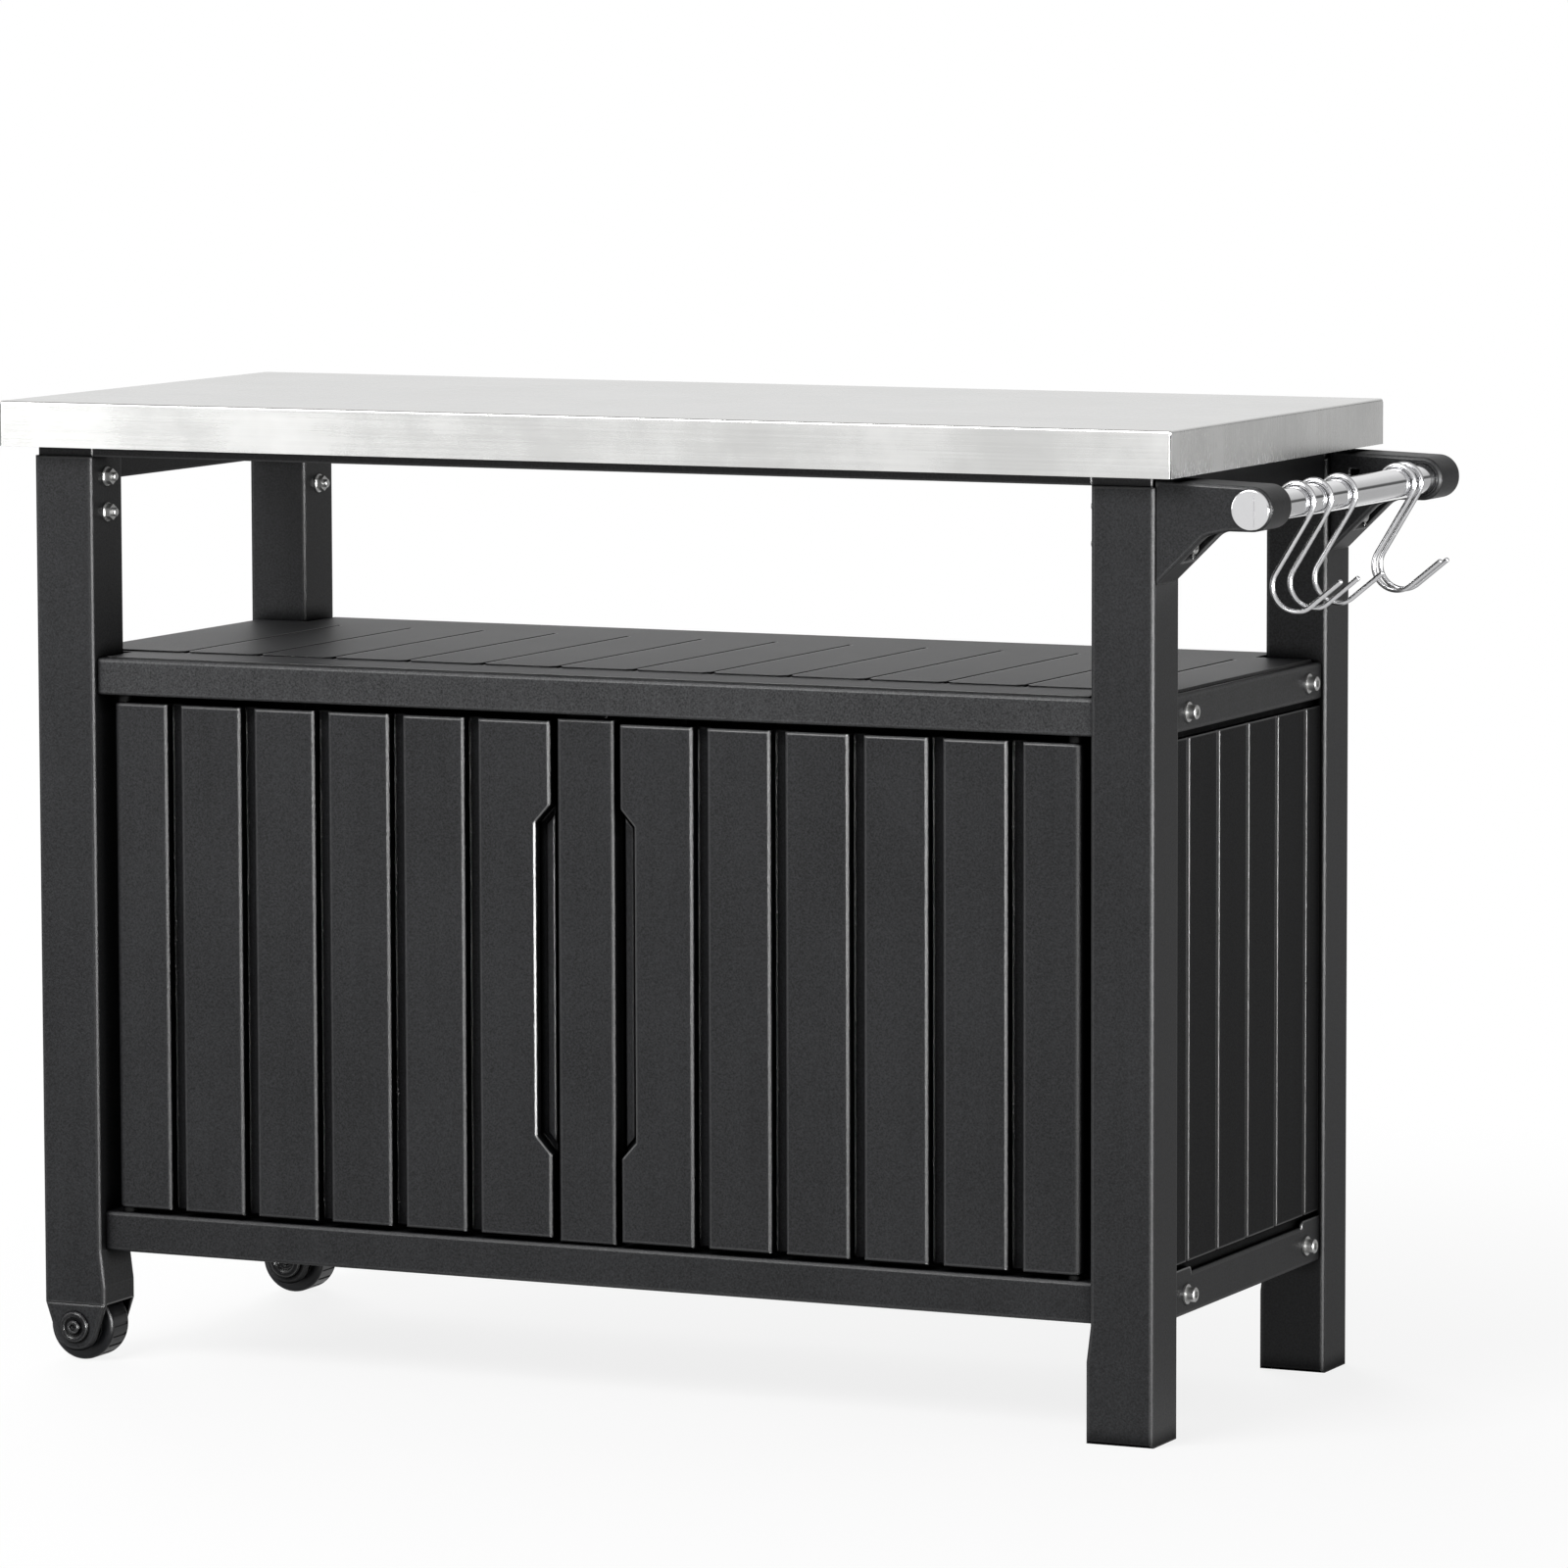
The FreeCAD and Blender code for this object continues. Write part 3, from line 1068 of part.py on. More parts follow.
def socket_bolt(radius, length, height, socket_depth):
    """A bolt below the plane of its cylindrical head, with a six-sided socket."""
    head, cut = cell("bolt_head_radius"), cell("bolt_chamfer")
    solid = revolved([(0, -length), (radius - cut, -length), (radius, cut - length), (radius, 0),
                      (head, 0), (head, height - cut), (head - cut, height), (0, height)])
    return solid.cut(hexagon(cell("bolt_socket_width"), height - socket_depth, height + cut))


def flange_nut():
    """A six-sided nut with a round flange, standing on its flange."""
    radius, flange = cell("bolt_radius"), cell("nut_flange_radius")
    thick, height = cell("nut_flange_thick"), cell("nut_height")
    solid = revolved([(radius, 0), (flange, 0), (flange, thick / 2), (cell("nut_width") / 2, thick),
                      (radius, thick)])
    prism = hexagon(cell("nut_width"), thick / 2, height)
    prism = prism.cut(Part.makeCylinder(radius, height))
    return solid.fuse(prism).removeSplitter()


def washer(hole, outer, thick):
    """A flat ring standing on Z = 0."""
    return revolved([(hole, 0), (outer, 0), (outer, thick), (hole, thick)])


def build_leg_bolts():
    """Two bolts through each leg and its corner block, with a nut on the leg's inner face."""
    bolts, nuts = [], []
    grip = cell("leg_width") + cell("nut_height") + cell("bolt_end")
    head, socket = cell("bolt_head_height"), cell("bolt_socket_depth")
    for side_x in (-1, 1):
        seat = cell("leg_outer_x") if side_x < 0 else cell("arm_seat_x")
        length = grip + seat - cell("leg_outer_x")
        for side_y in (-1, 1):
            for level in (cell("upper_bolt_z"), cell("lower_bolt_z")):
                middle = side_y * cell("leg_middle_y")
                bolt = socket_bolt(cell("bolt_radius"), length, head, socket)
                bolts.append(stood(bolt, (side_x * seat, middle, level), (side_x, 0, 0)))
                nuts.append(stood(flange_nut(), (side_x * cell("leg_inner_x"), middle, level),
                                  (-side_x, 0, 0)))
    return [group("leg_bolts", bolts), group("leg_nuts", nuts)]


def build_deck_bolts():
    """A bolt and a washer at each end of both decks' side faces."""
    bolts, rings = [], []
    radius, thick = cell("deck_bolt_radius"), cell("washer_thick")
    head, socket = cell("bolt_head_height"), cell("bolt_socket_depth")
    for side_x in (-1, 1):
        for side_y in (-1, 1):
            for level in (cell("shelf_middle_z"), cell("base_middle_z")):
                middle = side_y * (cell("leg_inner_y") - cell("deck_bolt_offset"))
                face = side_x * cell("deck_side_x")
                bolt = socket_bolt(radius, cell("deck_bolt_length") + thick, head, socket)
                bolts.append(stood(bolt, (face + side_x * thick, middle, level), (side_x, 0, 0)))
                ring = washer(radius, cell("washer_radius"), thick)
                rings.append(stood(ring, (face, middle, level), (side_x, 0, 0)))
    return [group("deck_bolts", bolts), group("deck_washers", rings)]


def dished_disc(hole, outer, height):
    """A round disc with bevelled edges and a dish around its hole."""
    edge, dish, level = cell("cap_edge"), cell("cap_dish_radius"), cell("cap_dish_level")
    return revolved([(hole, 0), (outer, 0), (outer, height - edge), (outer - edge, height),
                     (dish + edge, height), (dish, level), (hole, level)])


def build_axles():
    """The wheels' axle bolts with their wide caps outside and round nuts inside."""
    made = []
    nuts = []
    hole, level = cell("axle_radius"), cell("cap_dish_level")
    for word, side in (("front", -1), ("back", 1)):
        base = (-cell("axle_x"), side * cell("leg_outer_y"), cell("wheel_radius"))
        cap = dished_disc(hole, cell("cap_radius"), cell("cap_thick"))
        made.append(group(f"{word}_axle_cap", [stood(cap, base, (0, side, 0))]))
        length = level + cell("leg_depth") + cell("axle_nut_height") - cell("axle_end_drop")
        bolt = socket_bolt(hole, length, cell("axle_head_height"), cell("axle_socket_depth"))
        top = (base[0], base[1] + side * level, base[2])
        made.append(group(f"{word}_axle_bolt", [stood(bolt, top, (0, side, 0))]))
        inner = (base[0], side * cell("leg_inner_y"), base[2])
        nut = dished_disc(hole, cell("axle_nut_radius"), cell("axle_nut_height"))
        nuts.append(stood(nut, inner, (0, -side, 0)))
    made.append(group("axle_nuts", nuts))
    return made


def build_all():
    """Every sub-part of the cart."""
    made = [build_steel_top()] + build_frame_rails()
    corners = (("front_left", -1, -1), ("front_right", 1, -1),
               ("back_left", -1, 1), ("back_right", 1, 1))
    for word, side_x, side_y in corners:
        made.append(build_corner_block(f"{word}_corner", side_x, side_y))
        made.append(build_leg(f"{word}_leg", side_x, side_y, side_x < 0))
    made += [build_shelf(), build_base(), build_side_panel("left_side_panel", -1),
             build_side_panel("right_side_panel", 1), build_back_panel(), build_post(),
             build_door("left_door", -1), build_door("right_door", 1)]
    made += build_hinges() + build_catches()
    made += [build_arm("front_arm", -1), build_arm("back_arm", 1), build_bar(),
             build_plug("front_bar_plug", -1), build_plug("back_bar_plug", 1)]
    for number, word in enumerate(("one", "two", "three", "four", "five")):
        made.append(build_hook(f"hook_{number + 1}", f"hook_{word}_y"))
    for word, side in (("front", -1), ("back", 1)):
        made += [build_tyre(f"{word}_wheel_tyre", side), build_hub(f"{word}_wheel_hub", side)]
    return made + build_axles() + build_leg_bolts() + build_deck_bolts()


def check_and_write(made):
    """Stop on any broken object, then write one file for each sub-part."""
    doc.recompute()
    for item in doc.Objects:
        if "Invalid" in item.State or "Error" in item.State:
            raise ValueError(f"{item.Name} is {item.State}")
    for item in made:
        if item.Shape.isNull() or not item.Shape.isValid():
            raise ValueError(f"{item.Label} has no valid shape")
        item.Shape.exportStep(os.path.join(FILE_FOLDER, item.Label + ".step"))
        box = item.Shape.BoundBox
        print(item.Label, len(item.Shape.Solids), round(item.Shape.Volume),
              [round(number, 1) for number in (box.XMin, box.XMax, box.YMin, box.YMax,
                                               box.ZMin, box.ZMax)])


os.makedirs(FILE_FOLDER, exist_ok=True)
fill_sheet()
check_and_write(build_all())
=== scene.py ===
"""Looks of the grill cart: finishes, added trim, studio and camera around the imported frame.

Everything is in metres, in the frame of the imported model: X along the cart to its towel bar,
Y from the doors to the back, Z up from the floor.
"""
import logging
import math
from abc import ABC, abstractmethod
from dataclasses import dataclass, replace
from enum import Enum
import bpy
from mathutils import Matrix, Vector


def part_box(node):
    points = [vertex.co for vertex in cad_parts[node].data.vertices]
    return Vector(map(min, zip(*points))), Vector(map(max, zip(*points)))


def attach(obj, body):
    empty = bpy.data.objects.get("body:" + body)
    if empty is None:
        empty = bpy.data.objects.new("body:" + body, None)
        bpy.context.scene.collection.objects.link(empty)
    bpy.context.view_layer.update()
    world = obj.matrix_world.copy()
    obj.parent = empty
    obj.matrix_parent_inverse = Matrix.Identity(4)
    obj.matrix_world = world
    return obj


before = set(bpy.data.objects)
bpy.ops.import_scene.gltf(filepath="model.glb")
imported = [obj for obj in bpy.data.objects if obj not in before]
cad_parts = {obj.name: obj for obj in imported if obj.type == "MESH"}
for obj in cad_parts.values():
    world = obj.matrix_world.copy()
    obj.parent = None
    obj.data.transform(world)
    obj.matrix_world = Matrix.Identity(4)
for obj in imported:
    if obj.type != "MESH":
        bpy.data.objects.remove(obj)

from types import MappingProxyType
from typing import Any, Mapping, Sequence

import bmesh
import bpy
from mathutils import Matrix, Vector

LOG = logging.getLogger("grill_cart")
Colour = tuple[float, float, float]
Triple = tuple[float, float, float]
Stops = tuple[tuple[float, float], ...]
Number = int | float

NOTHING: Mapping[Any, Any] = MappingProxyType({})
WHITE = (1.0, 1.0, 1.0, 1.0)
RAY_SAMPLES = 8
MERGE_DISTANCE = 1e-6


# Shader maths


class Signal:
    """A shader socket that Python expressions can work on.

    Args:
        sheet: the node sheet that the socket belongs to.
        socket: the output socket.
    """

    def __init__(self, sheet: "NodeSheet", socket: bpy.types.NodeSocket) -> None:
        """Keep the socket and its sheet."""
        self.sheet = sheet
        self.socket = socket

    def _math(self, operation: str, first: "Signal | Number",
              second: "Signal | Number") -> "Signal":
        """Add one Math node.

        Args:
            operation: the Math node's operation.
            first: the first value.
            second: the second value.

        Returns:
            The result.
        """
        return self.sheet.node("Math", {"operation": operation}, {0: first, 1: second}, "Value")

    def __add__(self, other: "Signal | Number") -> "Signal":
        """Sum."""
        return self._math("ADD", self, other)

    def __radd__(self, other: Number) -> "Signal":
        """Sum with the number first."""
        return self._math("ADD", other, self)

    def __sub__(self, other: "Signal | Number") -> "Signal":
        """Difference."""
        return self._math("SUBTRACT", self, other)

    def __rsub__(self, other: Number) -> "Signal":
        """Difference with the number first."""
        return self._math("SUBTRACT", other, self)

    def __mul__(self, other: "Signal | Number") -> "Signal":
        """Product."""
        return self._math("MULTIPLY", self, other)

    def __rmul__(self, other: Number) -> "Signal":
        """Product with the number first."""
        return self._math("MULTIPLY", other, self)

    def __truediv__(self, other: "Signal | Number") -> "Signal":
        """Quotient."""
        return self._math("DIVIDE", self, other)

    def __rtruediv__(self, other: Number) -> "Signal":
        """Quotient with the number first."""
        return self._math("DIVIDE", other, self)


@dataclass(frozen=True)
class Layer:
    """One layer of fractal noise on a surface.

    Attributes:
        scale: repeats in a metre, or in one step of coordinates that are drawn out already.
        detail: octaves.
        rough: share of each next octave.
        tone: its weight in the colour.
        matt: what it adds to the roughness.
        depth: what a height of 1 means in its bump, in metres.
        strength: how much of its bump shows.
    """

    scale: float
    detail: float = 2.0
    rough: float = 0.5
    tone: float = 0.0
    matt: float = 0.0
    depth: float = 0.0
    strength: float = 0.0


class Blend(Enum):
    """What a Mix node mixes: its type, the indices of its two inputs and of its output."""

    COLOUR = ("RGBA", 6, 7, 2)
    VECTOR = ("VECTOR", 4, 5, 1)


class NodeSheet:
    """The node tree of a material or of the world.

    Args:
        owner: the material or world, whose tree is emptied first.
    """

    def __init__(self, owner: bpy.types.Material | bpy.types.World) -> None:
        """Start with an empty tree."""
        owner.use_nodes = True
        self.owner = owner
        self.tree = owner.node_tree
        self.tree.nodes.clear()

    @classmethod
    def named(cls, name: str) -> "NodeSheet":
        """Start the sheet of a new material.

        Args:
            name: the material's name.

        Returns:
            The empty sheet.
        """
        return cls(bpy.data.materials.new(name))

    def node(self, kind: str, settings: Mapping[str, Any] = NOTHING,
             values: Mapping[Any, Any] = NOTHING, output: str | int = 0) -> Signal | None:
        """Add a node: its settings first, then the values or links of its sockets.

        Args:
            kind: the node's type after "ShaderNode".
            settings: the node's own options; "stops" fills a colour ramp.
            values: a number, a tuple or a Signal for each socket, by name or index.
            output: which output to hand on.

        Returns:
            The chosen output, or None for a node that has none.
        """
        node = self.tree.nodes.new("ShaderNode" + kind)
        for name, value in settings.items():
            if name == "stops":
                self._fill_ramp(node.color_ramp, value)
            else:
                setattr(node, name, value)
        for key, value in values.items():
            socket = node.inputs[key]
            if isinstance(value, Signal):
                self.tree.links.new(value.socket, socket)
            else:
                socket.default_value = value
        return Signal(self, node.outputs[output]) if node.outputs else None

    @staticmethod
    def _fill_ramp(ramp: bpy.types.ColorRamp, stops: Sequence[tuple[float, float]]) -> None:
        """Give a ramp its stops, as places and grey levels.

        Args:
            ramp: the ramp of the node.
            stops: pairs of place and level, in order.
        """
        # A new ramp has two elements; more are added at its end and then moved.
        while len(ramp.elements) < len(stops):
            ramp.elements.new(1.0)
        for element, (place, level) in zip(ramp.elements, stops):
            element.position = place
            element.color = (level, level, level, 1.0)

    def place(self) -> Signal:
        """The object's own coordinates."""
        return self.node("TexCoord", output="Object")

    def stretched(self, scale: Triple = (1.0, 1.0, 1.0), turn: Triple = (0.0, 0.0, 0.0)) -> Signal:
        """Object coordinates turned and scaled, so that a texture is drawn out.

        Args:
            scale: the scale along each axis.
            turn: the turn about each axis, in radians.

        Returns:
            The coordinates.
        """
        return self.node("Mapping", {"vector_type": "POINT"},
                         {"Vector": self.place(), "Scale": scale, "Rotation": turn})

    def noise(self, vector: Signal, layer: Layer) -> Signal:
        """Fractal noise, from 0 to 1.

        Args:
            vector: the coordinates.
            layer: its scale and octaves.

        Returns:
            The noise value.
        """
        return self.node("TexNoise", {}, {
            "Vector": vector, "Scale": layer.scale, "Detail": layer.detail,
            "Roughness": layer.rough}, "Fac")

    def ramp(self, value: Signal, *stops: tuple[float, float]) -> Signal:
        """Levels of a value between stops.

        Args:
            value: the value.
            stops: pairs of place and level, in order.

        Returns:
            The level.
        """
        ramp = self.node("ValToRGB", {"stops": stops}, {"Fac": value}, "Color")
        return self.node("RGBToBW", {}, {"Color": ramp})

    def signed_ramp(self, value: Signal, *stops: tuple[float, float]) -> Signal:
        """Levels of a value from -1 to 1, which the stops count from 0 to 1."""
        return self.ramp(value * 0.5 + 0.5, *stops)

    def blend(self, share: Signal, low: Signal | Colour, high: Signal | Colour,
              kind: Blend = Blend.COLOUR) -> Signal:
        """Mix two colours or two vectors.

        Args:
            share: how much of the second one.
            low: the first one.
            high: the second one.
            kind: what they are.

        Returns:
            The mixed colour or vector.
        """
        data_type, first, second, output = kind.value
        values: dict[int, Any] = {0: share}
        for key, end in ((first, low), (second, high)):
            values[key] = end if isinstance(end, Signal) else (*end, 1.0)
        return self.node("Mix", {"data_type": data_type}, values, output)

    def vector(self, operation: str, *values: Signal | Sequence[float],
               output: str = "Vector") -> Signal:
        """Add one Vector Math node.

        Args:
            operation: the node's operation.
            values: its vectors, in order.
            output: which output to hand on.

        Returns:
            The result.
        """
        return self.node("VectorMath", {"operation": operation}, dict(enumerate(values)), output)

    def edges(self, radius: float, lean: float, stops: Stops) -> tuple[Signal, Signal]:
        """Where the surface turns within a radius.

        Args:
            radius: the radius, in metres.
            lean: how much further the normal leans than that of a true round.
            stops: which turn, as 1 minus its cosine, counts as how much of an edge.

        Returns:
            A share from 0 on flats to 1 near edges, and the normal of the softened edge.
        """
        bent = self.node("Bevel", {"samples": RAY_SAMPLES}, {"Radius": radius})
        flat = self.node("NewGeometry", output="Normal")
        along = self.vector("DOT_PRODUCT", bent, flat, output="Value")
        tilt = self.vector("SUBTRACT", bent, flat)
        more = self.vector("MULTIPLY_ADD", tilt, (lean, lean, lean), bent)
        return self.ramp(1.0 - along, *stops), self.vector("NORMALIZE", more)

    def bump(self, height: Signal, layer: Layer, under: Signal | None = None) -> Signal:
        """A bump normal, on top of another one where it is given.

        Args:
            height: the height, from 0 to 1.
            layer: its depth and strength.
            under: the normal below it.

        Returns:
            The bumped normal.
        """
        values: dict[str, Any] = {
            "Strength": layer.strength, "Distance": layer.depth, "Height": height}
        if under is not None:
            values["Normal"] = under
        return self.node("Bump", {}, values, "Normal")

    def mix(self, share: Signal, low: Signal, high: Signal) -> Signal:
        """Mix two shaders.

        Args:
            share: how much of the second shader.
            low: the first shader.
            high: the second shader.

        Returns:
            The mixed shader.
        """
        return self.node("MixShader", {}, {0: share, 1: low, 2: high})

    def close(self, shader: Signal,
              output: str = "OutputMaterial") -> bpy.types.Material | bpy.types.World:
        """Put a shader on the output.

        Args:
            shader: the whole surface.
            output: the kind of the output node.

        Returns:
            The finished material or world.
        """
        self.node(output, {}, {"Surface": shader})
        return self.owner

    def surface(self, values: Mapping[str, Any]) -> bpy.types.Material:
        """Close the sheet with one main shader.

        Args:
            values: what goes into the shader's sockets.

        Returns:
            The finished material.
        """
        return self.close(self.node("BsdfPrincipled", {}, values))


# Finishes


@dataclass(frozen=True)
class Resin:
    """Moulded resin: a fine grain, faint flow marks, glossier edges and painted shade, near black
    and matt, in grooves and gaps.

    Attributes:
        name: the material's name.
        colour: the plain colour.
        roughness: the plain roughness.
        shine: how far the glossiest spots lie under the plain roughness.
        contrast: how far the tone swings about the plain colour.
        gloss: the specular level.
        grain: the moulded grain.
        cloud: broad clouds of tone and a faint swell.
        flow: marks of the resin's flow up the mouldings.
        flow_draw: the scale that draws them out.
        lattice_turn: a turn of the noise, so that no face lies along its lattice.
        tone_stops: where the layers' sum is darkest and lightest.
        rim: how much of the glossier shader the edges take.
        rim_reach: how far it reaches from an edge, in metres.
        rim_lean: how much further an edge's normal leans than that of a true round.
        rim_stops: which turn counts as how much of an edge.
        rim_shine: the edges' roughness, as a share of the plain one.
        rim_ior: the edges' refractive index.
        reach: how far open space has to reach before a place takes no painted shade, in metres.
        painted_shade: the colour painted as shade deep in grooves and gaps.
        painted_shade_stops: how much plain skin shows over painted shade, by how open it is.
    """

    name: str
    colour: Colour = (0.0164, 0.0168, 0.0181)
    roughness: float = 0.44
    shine: float = 0.05
    contrast: float = 0.75
    gloss: float = 0.17
    grain: Layer = Layer(1.0 / 0.0018, 3.0, 0.7, tone=0.8, matt=0.08, depth=0.00018,
                         strength=0.6)
    cloud: Layer = Layer(7.0, 3.0, 0.55, tone=0.12, matt=0.06, depth=0.0010, strength=0.2)
    flow: Layer = Layer(1.0, 2.0, 0.5, tone=0.08)
    flow_draw: Triple = (60.0, 60.0, 3.0)
    lattice_turn: Triple = (0.4, 0.7, 0.2)
    tone_stops: Stops = ((0.36, 0.0), (0.64, 1.0))
    rim: float = 1.0
    rim_reach: float = 0.0032
    rim_lean: float = 1.3
    rim_stops: Stops = ((0.0, 0.0), (0.04, 1.0))
    rim_shine: float = 0.7
    rim_ior: float = 1.8
    reach: float = 0.024
    painted_shade: Colour = (0.0012, 0.0012, 0.0014)
    painted_shade_stops: Stops = ((0.40, 0.0), (0.86, 1.0))

    def make(self) -> bpy.types.Material:
        """Build the material.

        Returns:
            The finished material.
        """
        sheet = NodeSheet.named(self.name)
        place = sheet.stretched(turn=self.lattice_turn)
        grain = sheet.noise(place, self.grain)
        cloud = sheet.noise(place, self.cloud)
        flow = sheet.noise(sheet.stretched(self.flow_draw), self.flow)
        tone = grain * self.grain.tone + cloud * self.cloud.tone + flow * self.flow.tone
        dark = tuple(level * (1 - self.contrast) for level in self.colour)
        light = tuple(level * (1 + self.contrast) for level in self.colour)
        tint = sheet.blend(sheet.ramp(tone, *self.tone_stops), dark, light)
        rough = (self.roughness - self.shine + cloud * self.cloud.matt
                 + grain * self.grain.matt)
        swell = sheet.bump(cloud, self.cloud)
        plain = sheet.node("BsdfPrincipled", {}, {
            "Base Color": tint, "Roughness": rough, "Specular IOR Level": self.gloss,
            "Normal": sheet.bump(grain, self.grain, swell)})
        edge, bent = sheet.edges(self.rim_reach, self.rim_lean, self.rim_stops)
        worn = sheet.node("BsdfPrincipled", {}, {
            "Base Color": tint, "Roughness": rough * self.rim_shine, "Specular IOR Level": 1.0,
            "IOR": self.rim_ior, "Normal": bent})
        skin = sheet.mix(edge * self.rim, plain, worn)
        # Painted shade: near-black matt shader in grooves and gaps, by ambient occlusion.
        painted_shade = sheet.node("BsdfPrincipled", {}, {
            "Base Color": (*self.painted_shade, 1.0), "Roughness": 1.0, "Specular IOR Level": 0.0})
        air = sheet.node("AmbientOcclusion", {"samples": RAY_SAMPLES, "only_local": False},
                         {"Distance": self.reach}, "AO")
        return sheet.close(sheet.mix(sheet.ramp(air, *self.painted_shade_stops), painted_shade, skin))


@dataclass(frozen=True)
class Brushed:
    """Brushed stainless sheet with fine streaks, handling marks and a soft ripple.

    Attributes:
        name: the material's name.
        colour: the metal's colour.
        roughness: the plain roughness.
        shine: how far the glossiest spots lie under the plain roughness.
        tarnish: the darkest tone, as a share of the colour.
        draw: the scale that draws the streaks out along X on the deck, and down the two
            skirts where the sheet is folded at its ends.
        fold_stops: how much of a face counts as an end skirt, by its normal.
        streak: the fine streaks.
        band: the broad streaks.
        smear: the handling marks.
        smear_stops: where they begin and where they are full.
        ripple: the sheet's ripple.
    """

    name: str
    colour: Colour = (0.68, 0.68, 0.67)
    roughness: float = 0.24
    shine: float = 0.06
    tarnish: float = 0.76
    draw: Triple = (5.0, 900.0, 900.0)
    fold_stops: Stops = ((0.3, 0.0), (0.7, 1.0))
    streak: Layer = Layer(1.0, 3.0, 0.65, tone=0.4, matt=0.12, depth=0.00006, strength=0.22)
    band: Layer = Layer(0.12, tone=0.25)
    smear: Layer = Layer(9.0, 4.0, 0.62, tone=0.35, matt=0.07)
    smear_stops: Stops = ((0.35, 0.0), (0.68, 1.0))
    ripple: Layer = Layer(2.4, 1.0, depth=0.004, strength=0.12)

    def make(self) -> bpy.types.Material:
        """Build the material.

        Returns:
            The finished material.
        """
        sheet = NodeSheet.named(self.name)
        place = sheet.place()
        face = sheet.node("SeparateXYZ", {}, {0: sheet.node("NewGeometry", output="Normal")}, "X")
        drawn = sheet.blend(sheet.ramp(face * face, *self.fold_stops), sheet.stretched(self.draw),
                            sheet.stretched(self.draw[::-1]), Blend.VECTOR)
        streak = sheet.noise(drawn, self.streak)
        band = sheet.noise(drawn, self.band)
        smear = sheet.ramp(sheet.noise(place, self.smear), *self.smear_stops)
        tone = streak * self.streak.tone + band * self.band.tone + smear * self.smear.tone
        dark = tuple(level * self.tarnish for level in self.colour)
        rough = (self.roughness - self.shine + streak * self.streak.matt
                 + smear * self.smear.matt)
        wave = sheet.bump(sheet.noise(place, self.ripple), self.ripple)
        return sheet.surface({
            "Base Color": sheet.blend(tone, dark, self.colour), "Metallic": 1.0,
            "Roughness": rough, "Normal": sheet.bump(streak, self.streak, wave)})


@dataclass(frozen=True)
class Plated:
    """Chrome or zinc plate: a bright metal, faint haze and fine scratches.

    Attributes:
        name: the material's name.
        colour: the metal's colour.
        roughness: the plain roughness.
        haze: how much the roughness varies.
        patch: repeats of the haze in a metre.
        scratch: depth of the scratches, in metres.
        cloud: the haze, but for what the fields above say.
        fine: the scratches, but for their depth.
        draw: the scale that draws the scratches out.
        tarnish: the darkest tone, as a share of the colour.
    """

    name: str
    colour: Colour
    roughness: float
    haze: float
    patch: float
    scratch: float
    cloud: Layer = Layer(1.0, 3.0, 0.6, tone=0.6)
    fine: Layer = Layer(1.0, 3.0, 0.7, tone=0.4, strength=0.3)
    draw: Triple = (900.0, 140.0, 900.0)
    tarnish: float = 0.82

    def make(self) -> bpy.types.Material:
        """Build the material.

        Returns:
            The finished material.
        """
        sheet = NodeSheet.named(self.name)
        cloud = sheet.noise(sheet.place(), replace(self.cloud, scale=self.patch))
        fine = sheet.noise(sheet.stretched(self.draw), self.fine)
        dark = tuple(level * self.tarnish for level in self.colour)
        tone = cloud * self.cloud.tone + fine * self.fine.tone
        return sheet.surface({
            "Base Color": sheet.blend(tone, dark, self.colour), "Metallic": 1.0,
            "Roughness": self.roughness + cloud * self.haze,
            "Normal": sheet.bump(fine, replace(self.fine, depth=self.scratch))})


@dataclass(frozen=True)
class Rubber:
    """Tyre rubber, fairly glossy, with dusty patches.

    Attributes:
        name: the material's name.
        colour: clean rubber.
        dust: dusty rubber.
        roughness: the plain roughness.
        gloss: the specular level.
        grain: the rubber's grain.
        patch: the patches of dust.
        dust_stops: where they begin and where they are full.
    """

    name: str
    colour: Colour = (0.006, 0.0065, 0.009)
    dust: Colour = (0.022, 0.022, 0.022)
    roughness: float = 0.26
    gloss: float = 0.32
    grain: Layer = Layer(1600.0, 2.0, 0.6, matt=0.08, depth=0.00015, strength=0.3)
    patch: Layer = Layer(60.0, 4.0, 0.6, tone=0.5, matt=0.25)
    dust_stops: Stops = ((0.5, 0.0), (0.85, 1.0))

    def make(self) -> bpy.types.Material:
        """Build the material.

        Returns:
            The finished material.
        """
        sheet = NodeSheet.named(self.name)
        place = sheet.place()
        grain = sheet.noise(place, self.grain)
        dirt = sheet.ramp(sheet.noise(place, self.patch), *self.dust_stops)
        return sheet.surface({
            "Base Color": sheet.blend(dirt * self.patch.tone, self.colour, self.dust),
            "Roughness": self.roughness + dirt * self.patch.matt + grain * self.grain.matt,
            "Specular IOR Level": self.gloss, "Normal": sheet.bump(grain, self.grain)})


